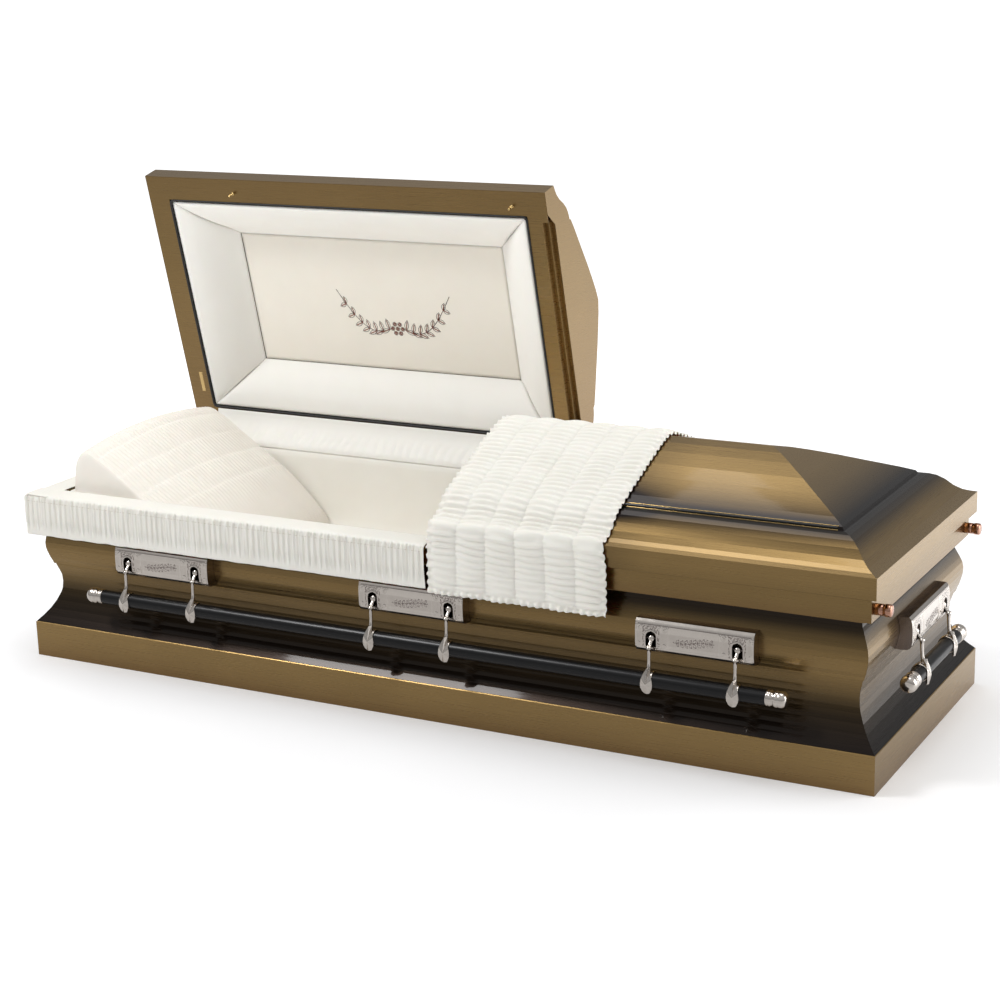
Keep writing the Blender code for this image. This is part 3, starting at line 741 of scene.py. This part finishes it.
def field_relief(x, z):
    """Height inside the border: dividers, pebbled fields, arch frames, scrolls and the sprig."""
    if abs(x) < PICTURE_HALF:
        return 0.0003 + (0.0007 if sprig(x, z) else 0.0)
    height = 0.0
    for divider in DIVIDERS:
        near = abs(abs(x) - divider)
        if near < DIVIDER_HALF:
            height = max(height, 0.001 * math.cos(math.pi * near / (2 * DIVIDER_HALF)))
    if DIVIDERS[1] < abs(x) < DIVIDERS[2] and not inside_arch(x, z, ARCH_CLEAR):
        height = max(height, 0.0007 * (0.5 + 0.5 * pebbles(x, z)))
    if inside_arch(x, z, ARCH_FRAME):
        height = 0.0011
    for cx in (0.065, 0.1222):
        for cz, turn in ((0.289, 1), (0.251, -1)):
            height = max(height, 0.0012 * scroll(abs(x), z, cx, cz, turn))
    return height


def lug_relief(x, z):
    """Height above the lug's face, in metres."""
    edge = from_edge(x, z)
    return field_relief(x, z) if edge > BORDER else border_relief(x, z, edge)


def is_shaded(x, z):
    """Whether the metal is dark there: beside the border, in the sprig or between pebbles."""
    edge = from_edge(x, z)
    if edge <= BORDER:
        return 0.0042 < edge < 0.0049
    if abs(x) < PICTURE_HALF:
        return sprig(x, z)
    pebbled = 0.076 < abs(x) < 0.114 and not inside_arch(x, z, ARCH_CLEAR)
    return pebbled and pebbles(x, z) < -0.05


def lug_pattern():
    across = 219
    lift = 0.0003
    run = even_steps(-LUG_HALF, LUG_HALF, across)
    heights = [point for point, _, _ in resample(LUG_FRONT, 60)]
    rows = [[(x, inset - lift - lug_relief(x, z), z) for x in run] for inset, z in heights]
    shape = grid(rows, skip=lambda i, j: inside_arch(run[j], heights[i][1]))
    item = mesh_object("lug_pattern", shape, nickel)
    item.data.materials.append(dark_nickel)
    for polygon in item.data.polygons:
        x, _, z = polygon.center
        polygon.material_index = int(is_shaded(x, z))
    return kept_mesh(item)


lug_mesh = lug_pattern()
for node in sorted(NODES):
    if "_lug_" in node:
        to_world = side_matrix(node.split("_")[0])
        spot = Matrix.Translation((place_along(node, to_world), 0, 0))
        dress(link(node.replace("lug", "lug_relief"), lug_mesh, to_world @ spot), "casket", "nickel")


# Locking tubes

def locking_tube(node):
    profile = [
        (0.0, 0.012), (0.015, 0.012), (0.016, 0.0112), (0.017, 0.012), (0.0205, 0.012), (0.0212, 0.013),
        (0.03, 0.013), (0.0325, 0.0122), (0.0338, 0.0105), (0.034, 0.003),
    ]
    middle = centre(node)
    shape = shifted(lathe(profile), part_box(node)[0][0], middle.y, middle.z)
    dress(mesh_object(node + "_turned", shape, copper), "casket", "copper", node)


locking_tube("locking_tube_front")
locking_tube("locking_tube_rear")


# Studs, gasket and latch arm of the head lid, and the foot lid's bead line

LID_OPENING = (-0.9881, 0.0205, -0.2891, 0.2891)


def lid_stud(name, x):
    head = [(0.0, 0.0048), (0.0012, 0.0048)]
    pin = [(0.0016, 0.003), (0.015, 0.003), (0.0175, 0.002), (0.018, 0.0006)]
    vertices, faces = lathe(head + pin, 20)
    y = -HALF_WIDTH + 0.044
    upright = [(x + v[1], y + v[2], RIM_PLANE - v[0]) for v in vertices]
    dress(mesh_object(name, on_lid((upright, faces)), brass), "head_lid", "copper")


def inset_rect(rect, margin):
    return (rect[0] + margin, rect[1] - margin, rect[2] + margin, rect[3] - margin)


def rect_loop(rect, z, r=0.0, steps=1):
    """Points round a rectangle (x0, x1, y0, y1), its corners rounded by r in some steps."""
    x0, x1, y0, y1 = rect
    corners = (x1 - r, y1 - r, 0), (x0 + r, y1 - r, 90), (x0 + r, y0 + r, 180), (x1 - r, y0 + r, 270)
    points = []
    for cx, cy, start in corners:
        for turn in even_steps(start, start + 90, steps):
            t = math.radians(turn)
            points.append((cx + r * math.cos(t), cy + r * math.sin(t), z))
    return points


def lid_gasket():
    section = [
        (-0.0002, 0.4053), (0.0, 0.403), (0.0018, 0.4024), (0.0036, 0.403), (0.0046, 0.4056),
        (0.0046, 0.412), (0.0002, 0.412),
    ]
    rows = [rect_loop(inset_rect(LID_OPENING, margin), z, 0.012, 8) for margin, z in section]
    shape = grid(rows, wrap_rows=True, wrap_columns=True)
    dress(mesh_object("lid_gasket", on_lid(shape), rubber), "head_lid", "bronze")


def lid_latch_arm():
    corners = []
    for inset in (0.545, 0.6):
        for x in (-1.014, -1.004):
            for rise in (0.0012, -0.0004):
                corners.append((x, -HALF_WIDTH + inset, RIM_PLANE + rise))
    faces = [(0, 1, 3, 2), (4, 6, 7, 5), (0, 4, 5, 1), (2, 3, 7, 6), (0, 2, 6, 4), (1, 5, 7, 3)]
    piece = mesh_object("lid_latch_arm", on_lid((corners, faces)), brass, shade=False)
    edge = piece.modifiers.new("edge", "BEVEL")
    edge.width = 0.0005
    edge.segments = 3
    apply_modifiers(piece)
    dress(piece, "head_lid", "copper")


def bead_line(name, dy, dz, radius, material):
    """A thin rod along the foot lid's shoulder, with tapered ends."""
    start, end = 0.458, 0.932
    taper = radius * 1.2
    profile = [(start, radius * 0.3), (start + taper * 0.4, radius * 0.8), (start + taper, radius)]
    profile += [(end - taper, radius), (end - taper * 0.4, radius * 0.8), (end, radius * 0.3)]
    shape = shifted(lathe(profile, 16), y=-HALF_WIDTH + 0.1122 + dy, z=0.5122 + dz)
    dress(mesh_object(name, shape, material), "foot_lid", "bronze")


lid_stud("lid_stud_head", -0.791)
lid_stud("lid_stud_cut", -0.016)
lid_gasket()
lid_latch_arm()
bead_line("bead_strip", 0.0, 0.0, 0.003, bead_black)
bead_line("bead_line_low", -0.003, -0.0034, 0.0007, brass)
bead_line("bead_line_high", 0.0024, 0.0036, 0.0007, brass)


# The lining of the body

TUB_LOW, TUB_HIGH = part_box("body_lining")
TUB_RECT = (TUB_LOW[0], TUB_HIGH[0], TUB_LOW[1], TUB_HIGH[1])
WALL_TOP = 0.3985
BED_PLANE = 0.2006
CORNER_STEPS = 8


def long_loop(rect, z, radius, x_count, y_count):
    """A loop with rounded corners and with many points on its straight sides too."""
    corners = rect_loop(rect, z, radius, CORNER_STEPS)
    loop = []
    for k, a in enumerate(corners):
        b = corners[(k + 1) % len(corners)]
        loop.append(a)
        if (k + 1) % (CORNER_STEPS + 1) == 0:
            count = x_count if abs(a[0] - b[0]) > abs(a[1] - b[1]) else y_count
            loop += [between(a, b, s / count) for s in range(1, count)]
    return loop


def body_lining():
    wall = [
        (0.0022, 0.3978), (0.006, WALL_TOP), (0.01, 0.395), (0.0115, 0.38), (0.012, 0.34), (0.0122, 0.3),
        (0.0126, 0.26), (0.0135, 0.235), (0.0165, 0.215), (0.024, 0.2035), (0.04, 0.2008),
        (0.09, BED_PLANE), (0.17, BED_PLANE), (0.27, BED_PLANE),
    ]
    rows = []
    for (margin, level), _, _ in spline(wall, 34):
        corner_radius = 0.022 if margin < 0.2 else 0.004
        row = []
        for x, y, z in long_loop(inset_rect(TUB_RECT, margin), level, corner_radius, 150, 44):
            billow = 0.001 * noise3(x * 9, y * 9, z * 5) * smooth(WALL_TOP, 0.37, z)
            row.append((x, y, z + max(-0.0004, billow) * smooth(0.21, BED_PLANE, z)))
        rows.append(row)
    vertices, faces = grid(rows, wrap_columns=True)
    faces.append(tuple(range(len(vertices) - len(rows[0]), len(vertices))))
    piece = mesh_object("body_lining_cloth", (vertices, faces), cream_cloth)
    thicken(piece, 0.0012, 1.0)
    dress(piece, "casket", "lining", "body_lining")


body_lining()


# The head lid's padding

PANEL_RECT = (-0.85, -0.102, -0.175, 0.175)
PANEL_LEVEL = 0.4866
ROLL_OUTER = inset_rect(LID_OPENING, 0.0068)
ROLL_SECTION = [
    (0.0, 0.4075), (0.02, 0.407), (0.1, 0.4085), (0.35, 0.4225), (0.62, 0.4462), (0.86, 0.472),
    (1.0, 0.4846),
]


def roll_side(a, b, c, d):
    """One mitred side: outer corners a and b, panel corners c and d."""
    count = 110
    rows = []
    for (share, z), _, _ in spline(ROLL_SECTION, 26):
        start, end = between(a, c, share), between(b, d, share)
        length = math.dist(start, end)
        arch = math.sin(math.pi * share)
        row = []
        for t in even_steps(0, 1, count):
            x, y, _ = between(start, end, t)
            seam = min(t, 1 - t) * length
            puff = 0.004 * arch - 0.0032 * math.exp(-seam / 0.007)
            ripple = 0.0009 * noise3(x * 22, y * 22, z * 10) * arch
            row.append((x, y, z - max(0.0, puff) - ripple + 0.0028 * math.exp(-seam / 0.005) * arch))
        rows.append(row)
    return grid(rows)


def lid_roll():
    outer = rect_loop(ROLL_OUTER, 0.0)[::2]
    inner = rect_loop(PANEL_RECT, 0.0)[::2]
    sides = [roll_side(outer[k - 1], outer[k], inner[k - 1], inner[k]) for k in (1, 2, 3, 0)]
    piece = mesh_object("lid_roll_cloth", on_lid(join_parts(sides)), roll_cloth)
    thicken(piece, 0.002, 1.0)
    dress(piece, "head_lid", "lining", "head_lid_roll")


def lid_cap_panel():
    x0, x1, y0, y1 = PANEL_RECT
    edge = 0.0004
    rows = []
    for v in even_steps(0, 1, 40):
        row = []
        for u in even_steps(0, 1, 80):
            x = x0 + edge + (x1 - x0 - 2 * edge) * u
            y = y0 + edge + (y1 - y0 - 2 * edge) * v
            crown = 0.0042 * (1 - (2 * u - 1) ** 6) * (1 - (2 * v - 1) ** 6)
            row.append((x, y, PANEL_LEVEL - crown - 0.0004 * noise3(x * 12, y * 12)))
        rows.append(row)
    piece = mesh_object("lid_cap_panel_cloth", on_lid(grid(rows)), panel_cloth)
    thicken(piece, 0.004, 1.0)
    dress(piece, "head_lid", "lining", "head_lid_cap_panel")


lid_roll()
lid_cap_panel()


# Embroidery on the cap panel: a generic spray of leaves and berries

SPRAY_X, SPRAY_Y = -0.43, 0.0
THREAD_LEVEL = 0.4822
OUTLINE_RADIUS = 0.0008


def stroke(points, radius, sides=6):
    """A thin raised thread along a path of (x, y) on the cap panel."""
    rows = []
    for k, ((x, y), (nx, ny)) in enumerate(zip(points, normals(points))):
        swell = ring(radius * (0.75 + 0.25 * math.cos(k * 2.6)), sides)
        rows.append([(x + nx * out, y + ny * out, THREAD_LEVEL - 0.6 * up) for out, up in swell])
    return grid(rows, wrap_columns=True)


def reached(x, y, angle, along, across=0.0):
    """The point reached from x, y along a direction and then across it."""
    return (x + along * math.cos(angle) - across * math.sin(angle),
            y + along * math.sin(angle) + across * math.cos(angle))


def leaf_outline(x, y, angle, length, width):
    points = []
    for t in even_steps(0, 1, 24):
        side = 1 if t < 0.5 else -1
        u = 2 * t if t < 0.5 else 2 - 2 * t
        across = side * width * math.sin(math.pi * u) * (1 - 0.25 * u)
        points.append(reached(x, y, angle, length * u, across))
    return points


def circle(x, y, radius, steps):
    return [reached(x, y, 2 * math.pi * s / steps, radius) for s in range(steps + 1)]


def branch(way):
    """A stem that curves out from the middle, its paired leaves and their veins."""
    stem = []
    for t in even_steps(0, 1, 39):
        y = SPRAY_Y + 0.058 - 0.095 * t + 0.05 * math.sin(math.pi * t)
        stem.append((SPRAY_X + way * (0.012 + 0.15 * t), y))
    lines, veins = [stroke(stem, 0.001)], []
    for k in range(3, 38, 5):
        x, y = stem[k]
        for lean in (-1, 1):
            angle = math.atan2(-0.5, way) + lean * 0.85
            size = 0.03 - 0.0003 * k
            reach = size * 0.85
            vein = [reached(x, y, angle, reach * s / 9) for s in range(10)]
            lines.append(stroke(leaf_outline(x, y, angle, size, 0.0062), OUTLINE_RADIUS))
            veins.append(stroke(vein, 0.0016))
    return lines, veins


def berries():
    """Six berries round one, each a ring and a dot."""
    rings, dots = [], []
    for k in range(7):
        turn = 2 * math.pi * k / 6
        reach = 0.0 if k == 6 else 0.014
        x, y = reached(SPRAY_X, SPRAY_Y + 0.06, turn, reach)
        rings.append(stroke(circle(x, y, 0.0055, 16), OUTLINE_RADIUS))
        dots.append(stroke(circle(x, y, 0.0028, 10), 0.002))
    return rings, dots


def embroidery():
    outlines, fills = [], []
    for lines, inner in (branch(-1), branch(1), berries()):
        outlines += lines
        fills += inner
    for name, strokes, material in (
        ("embroidery_outline", outlines, thread_brown),
        ("embroidery_fill", fills, thread_red),
    ):
        dress(mesh_object(name, on_lid(join_parts(strokes)), material), "head_lid", "lining")


embroidery()


# The apron, which joins the body's rear wall to the open lid

APRON_START, APRON_END = -0.972, 0.012


def rear_apron():
    path = [(0.28, 0.395), (0.285, 0.408), (0.3, 0.421), (0.318, 0.438), (0.329, 0.456), (0.334, 0.472)]
    rows = []
    for (y, z), (ny, nz), s in spline(path, 26):
        row = []
        for x in even_steps(APRON_START, APRON_END, 259):
            fold = 0.0022 * math.sin(x * 120 + 3 * noise3(x * 6, s * 10))
            fold = abs(fold * math.sin(math.pi * min(1, s / 0.075 + 0.1)))
            row.append((x, y + ny * fold, z + nz * fold))
        rows.append(row)
    piece = mesh_object("rear_apron", grid(rows), roll_cloth)
    thicken(piece, 0.001, 0.0)
    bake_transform(piece)


rear_apron()


# The foot lid's lining

def foot_lid_lining():
    low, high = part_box("foot_lid_lining")
    across, down = even_steps(low[0], high[0], 70), even_steps(low[1], high[1], 44)
    rows = [[(x, y, low[2] + 0.0006 + 0.001 * abs(noise3(x * 8, y * 8))) for x in across] for y in down]
    piece = mesh_object("foot_lid_lining_cloth", grid(rows), cream_cloth)
    thicken(piece, 0.0012, 1.0)
    dress(piece, "foot_lid", "lining", "foot_lid_lining")


foot_lid_lining()


# The pillow

PILLOW_LOW, PILLOW_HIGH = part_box("pillow")
PILLOW_FLOOR = 0.2003
PILLOW_RISE = 0.028
PILLOW_OUTLINE = [
    (0.0, BED_PLANE), (0.0, 0.3), (0.0005, 0.44), (0.008, 0.473), (0.028, 0.487), (0.074, 0.47),
    (0.174, 0.404), (0.264, 0.344), (0.338, 0.276), (0.368, 0.236), (0.369, BED_PLANE),
]
SHIRR_LINES = (0.335, 0.405, 0.475, 0.545, 0.615)
PLEAT_PITCH = 0.0125


def pleat_lift(x, y, s):
    """How far the pleated cover stands out, pinched in along the shirring lines."""
    pleat = math.sin(2 * math.pi * (y / PLEAT_PITCH + 0.5 * noise3(x * 14, y * 3, 1.0)))
    depth = 0.0027 * (0.7 + 0.5 * noise3(x * 10, y * 16, 5.0))
    near = min(abs(s - line - 0.006 * noise3(y * 7, line * 20)) for line in SHIRR_LINES)
    pinch = math.exp(-(near / 0.006) ** 2)
    return depth * pleat * (1 - 0.4 * pinch) - 0.0042 * pinch + 0.0015


def pillow():
    count = 280
    outline = spline(PILLOW_OUTLINE, 150)
    arc = outline[-1][2]
    rows = []
    for (x, z), (nx, nz), s in outline:
        row = []
        top_share = smooth(0.245, 0.3, s) * smooth(arc - 0.02, arc - 0.06, s)
        for v in even_steps(-1, 1, count):
            y = v * PILLOW_HIGH[1]
            swell = PILLOW_RISE * (1 - v * v) * (z - PILLOW_FLOOR) / 0.29
            ends = 1 - 0.3 * smooth(0.93, 1.0, abs(v))
            lift = pleat_lift(x, y, s) * top_share * smooth(1.0, 0.9, abs(v))
            level = PILLOW_FLOOR + (z + swell - PILLOW_FLOOR) * ends
            row.append((PILLOW_LOW[0] + 0.0008 - nx * lift + max(0.0, x), y, max(0.2004, level + nz * lift)))
        rows.append(row)
    vertices, faces = grid(rows)
    across, down = count + 1, range(len(rows))
    faces.append(tuple(i * across for i in reversed(down)))
    faces.append(tuple(i * across + count for i in down))
    last = (len(rows) - 1) * across
    faces.append(tuple(range(across)) + tuple(last + j for j in reversed(range(across))))
    piece = mesh_object("pleated_pillow", (vertices, faces), ivory_cloth)
    piece.data.set_sharp_from_angle(angle=math.radians(60))
    dress(piece, "casket", "pleated", "pillow")
    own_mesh(piece)


pillow()


# The gathered skirts over the rim, in front and at the head end

SKIRT_TOP = 0.4041
SKIRT_DROP = 0.094
STITCH_OUT, STITCH_Z = 0.003, 0.3895
FRONT_SKIRT_X = (-HALF_LENGTH - 0.001, 0.04)
END_SKIRT_Y = (-HALF_WIDTH - 0.001, 0.3)
SKIRT_SECTION = [
    (0.065, SKIRT_TOP - 0.001), (0.04, SKIRT_TOP), (0.017, SKIRT_TOP), (0.0085, SKIRT_TOP),
    (0.0048, SKIRT_TOP - 0.001), (0.0024, SKIRT_TOP - 0.0045), (0.0012, 0.39), (0.0008, 0.37),
    (0.0006, 0.345), (0.0012, 0.325), (0.0012, SKIRT_TOP - SKIRT_DROP - 0.004),
]


def gather(along, s):
    """How far the gathered cloth stands out at a place along its edge, s below its top."""
    folds = 0.55 * wave(along, 0.0165, 2.4 * noise3(along * 9, s * 4, 2.0))
    folds += 0.45 * wave(along, 0.0074, 2.0 * noise3(along * 25, s * 6, 7.0))
    smocking_start = SKIRT_DROP - 0.034
    body = 0.0034 * folds * smooth(0.0, 0.012, s) * smooth(SKIRT_DROP, smocking_start, s)
    u, v = along / 0.0062, s / 0.0088
    smock = math.sin(2 * math.pi * (u + v)) * math.sin(2 * math.pi * (u - v))
    return body + 0.0014 * smock * smooth(SKIRT_DROP - 0.04, smocking_start, s)


def skirt_point(along, inset, z):
    """Where the cloth lies: rippled on the rim's top, gathered where it hangs."""
    below = SKIRT_TOP - z
    if below < 0.003:
        ripple = 0.00035 * wave(along, 0.008, 3 * noise3(along * 12, inset * 30))
        return inset, min(0.4044, z + ripple)
    ruff = 0.002 * wave(along, 0.009, 2 * noise3(along * 20, 4.0))
    ruff *= math.exp(-((below - 0.008) / 0.006) ** 2)
    hem = 0.0016 * noise3(along * 30, 9.0) * smooth(SKIRT_DROP - 0.01, SKIRT_DROP, below)
    return inset - 0.0026 - gather(along, below) - ruff, z + hem


def skirt(node, stretch, to_point, count):
    """A skirt from its inner edge over the rim and down. to_point maps (along, inset, z)."""
    start, end = stretch
    places = even_steps(start, end, count)
    rows = []
    for (inset, z), _, _ in resample(SKIRT_SECTION, 74):
        rows.append([to_point(along, *skirt_point(along, inset, z)) for along in places])
    piece = mesh_object(node + "_cloth", grid(rows), ivory_cloth)
    thicken(piece, 0.0007, 0.0)
    dress(piece, "casket", "pleated", node)
    return piece


def stitch_row(name, stretch, to_point, direction):
    """A dashed row of short threads along a skirt's top."""
    step, inset = 0.0085, 0.004
    dx, dy = direction
    parts = []
    for k in range(int((stretch[1] - stretch[0]) / step)):
        x, y, z = to_point(stretch[0] + inset + k * step, -STITCH_OUT, STITCH_Z)
        rows = []
        for t, r in ((-0.0026, 0.0002), (-0.0016, 0.0006), (0.0016, 0.0006), (0.0026, 0.0002)):
            rows.append([(x + dx * t + dy * out, y + dy * t - dx * out, z + up) for out, up in ring(r, 6)])
        parts.append(grid(rows, wrap_columns=True))
    dress(mesh_object(name, join_parts(parts), stitch), "casket", "pleated")


def front_point(along, inset, z):
    return along, -HALF_WIDTH + inset, z


def head_end_point(along, inset, z):
    return -HALF_LENGTH + inset, along, z


skirt("front_skirt", FRONT_SKIRT_X, front_point, 600)
end_skirt = skirt("head_end_skirt", END_SKIRT_Y, head_end_point, 380)
end_skirt.data.flip_normals()
stitch_row("front_skirt_stitches", FRONT_SKIRT_X, front_point, (1, 0))
stitch_row("head_skirt_stitches", END_SKIRT_Y, head_end_point, (0, 1))


# The shirred throw over the foot lid

THROW_LOW, THROW_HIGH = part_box("throw")
THROW_LEFT, THROW_RIGHT = THROW_LOW[0] - 0.026, THROW_HIGH[0] + 0.01
THROW_WIDTH = THROW_RIGHT - THROW_LEFT
COLUMNS = 6
LID_WIDTH = 0.71
FRONT_PATH = [
    (0.0025, 0.2995), (0.0025, 0.34), (0.0025, 0.385), (0.0025, 0.43), (0.003, 0.449), (0.008, 0.4545),
    (0.02, 0.4565), (0.033, 0.462), (0.048, 0.473), (0.063, 0.489), (0.078, 0.501), (0.092, 0.5075),
    (0.112, 0.516), (0.14, 0.5285), (0.17, 0.5405), (0.204, 0.554), (0.246, 0.571), (0.292, 0.588),
    (0.325, 0.599), (0.355, 0.604),
]
REAR_PATH = [(LID_WIDTH - inset, z) for inset, z in reversed(FRONT_PATH[:-1]) if inset > 0.05]


def throw_lift(x, u, s):
    """How far the throw stands off the lid, u across it and s along it from its front hem."""
    place_in = (u * COLUMNS) % 1.0
    from_line = min(place_in, 1 - place_in) * THROW_WIDTH / COLUMNS
    edge = min(u, 1 - u) * THROW_WIDTH
    column = math.floor(min(u, 0.9999) * COLUMNS)
    hump = 0.0062 * math.sin(math.pi * place_in) ** 0.6
    billow = 0.0026 + 0.0018 * noise3(x * 5, s * 12, 6.0)
    billow *= wave(s, 0.015, 3.4 * noise3(x * 9 + 5 * column, s * 15, 2.0))
    billow *= 0.35 + 0.65 * math.sin(math.pi * place_in)
    tucks = 0.0016 * wave(s, 0.0085, 3 * noise3(x * 8, s * 9)) * math.exp(-(from_line / 0.013) ** 2)
    ruffle = 0.0045 * wave(s, 0.019, 2.4 * noise3(s * 16, 3.0 if u < 0.5 else 8.0)) * smooth(0.02, 0.0, edge)
    hem = 0.0035 * wave(x, 0.017, 2 * noise3(x * 20, 1.0)) * smooth(0.018, 0.0, s)
    return max(0.0012, 0.003 + (hump + billow) * smooth(0.0, 0.02, edge) + tucks + ruffle + hem)


def throw():
    count = 160
    rows = []
    for (inset, z), (nx, nz), s in spline(FRONT_PATH + REAR_PATH, 290):
        hang = smooth(0.16, 0.1, s)
        row = []
        for u in even_steps(0, 1, count):
            x = THROW_LEFT + THROW_WIDTH * u
            out = throw_lift(x, u, s)
            row.append((x + 0.012 * (u - 0.4) * hang, -HALF_WIDTH + inset + nx * out, z + nz * out))
        rows.append(row)
    piece = mesh_object("shirred_throw", grid(rows), ivory_cloth)
    thicken(piece, 0.001, 0.0)
    dress(piece, "foot_lid", "pleated", "throw")


throw()


# Studio floor, white, but darker in the reflections on the casket's front

FLOOR_SIZE, FLOOR_LEVEL = 70.0, -0.0002


def floor_material():
    made, tree, shader = start_material("studio_floor")
    white = mix_colour(tree, noise_node(tree, 1.5, 2.0), (0.86, 0.86, 0.87), (0.9, 0.9, 0.91))
    in_front = map_range(tree, one_axis(tree, object_point(tree), "Y"), (0.6, -0.9), (0.0, 0.66))
    mirrored = add(tree, "LightPath").outputs["Is Glossy Ray"]
    dimmed = arithmetic(tree, "MULTIPLY", mirrored, in_front)
    kept = arithmetic(tree, "SUBTRACT", 1.0, dimmed)
    distance = add(tree, "VectorMath", operation="LENGTH", Vector=object_point(tree))
    glow = map_range(tree, distance.outputs["Value"], (0.9, 3.2), (0.12, 0.75))
    feed(tree, shader, {
        "Base Color": mix_colour(tree, dimmed, white, (0.1, 0.09, 0.08)),
        "Roughness": 0.75,
        "Emission Color": (1, 1, 1),
        "Emission Strength": arithmetic(tree, "MULTIPLY", glow, kept),
    })
    return made


edges = (-FLOOR_SIZE, FLOOR_SIZE)
floor_rows = [[(x, y, FLOOR_LEVEL) for x in edges] for y in edges]
mesh_object("studio_backdrop", grid(floor_rows), floor_material())


# Studio walls as the sky, and the lights

def studio_sky():
    world = bpy.data.worlds.new("studio")
    bpy.context.scene.world = world
    world.use_nodes = True
    tree = world.node_tree
    direction = add(tree, "TexCoord").outputs["Generated"]
    level = map_range(tree, one_axis(tree, direction, "Z"), (-0.2, 1.0))
    shades = ramp(tree, level, [(0.0, 0.85), (0.22, 0.55), (0.45, 0.7), (0.8, 1.0)])
    feed(tree, tree.nodes["Background"], {"Color": shades, "Strength": 0.5})


def area_light(name, spot, target, size, power):
    data = bpy.data.lights.new(name, "AREA")
    data.shape = "RECTANGLE"
    data.size, data.size_y = size
    data.energy = power
    lamp = link(name, data)
    lamp.location = spot
    lamp.rotation_euler = (Vector(spot) - Vector(target)).to_track_quat("Z", "Y").to_euler()


studio_sky()
area_light("key", (-2.2, -1.8, 3.6), (0, 0, 0.4), (1.2, 1.0), 74)
area_light("fill", (4.6, 1.4, 1.6), (0.6, 0, 0.3), (3.2, 2.6), 105)
area_light("top", (0.2, 0.3, 4.2), (0, 0, 0.3), (4.0, 1.6), 56)


# Camera, worked out from the casket's edges in the photo

AZIMUTH = math.radians(28.21)
ELEVATION = math.radians(15.41)
ROLL = math.radians(-1.534)
DISTANCE = 4.956
TARGET = Vector((0.038, 0.0, 0.4136))
LENS, SENSOR = 77.94, 36.0


def photo_camera():
    data = bpy.data.cameras.new("camera")
    data.lens = LENS
    data.sensor_width = SENSOR
    turn = Matrix.Rotation(AZIMUTH, 4, "Z") @ Matrix.Rotation(math.pi / 2 - ELEVATION, 4, "X")
    turn = turn @ Matrix.Rotation(ROLL, 4, "Z")
    spot = TARGET + turn.to_3x3() @ Vector((0, 0, DISTANCE))
    bpy.context.scene.camera = link("camera", data, Matrix.Translation(spot) @ turn)


photo_camera()
bpy.context.scene.view_settings.view_transform = "Standard"
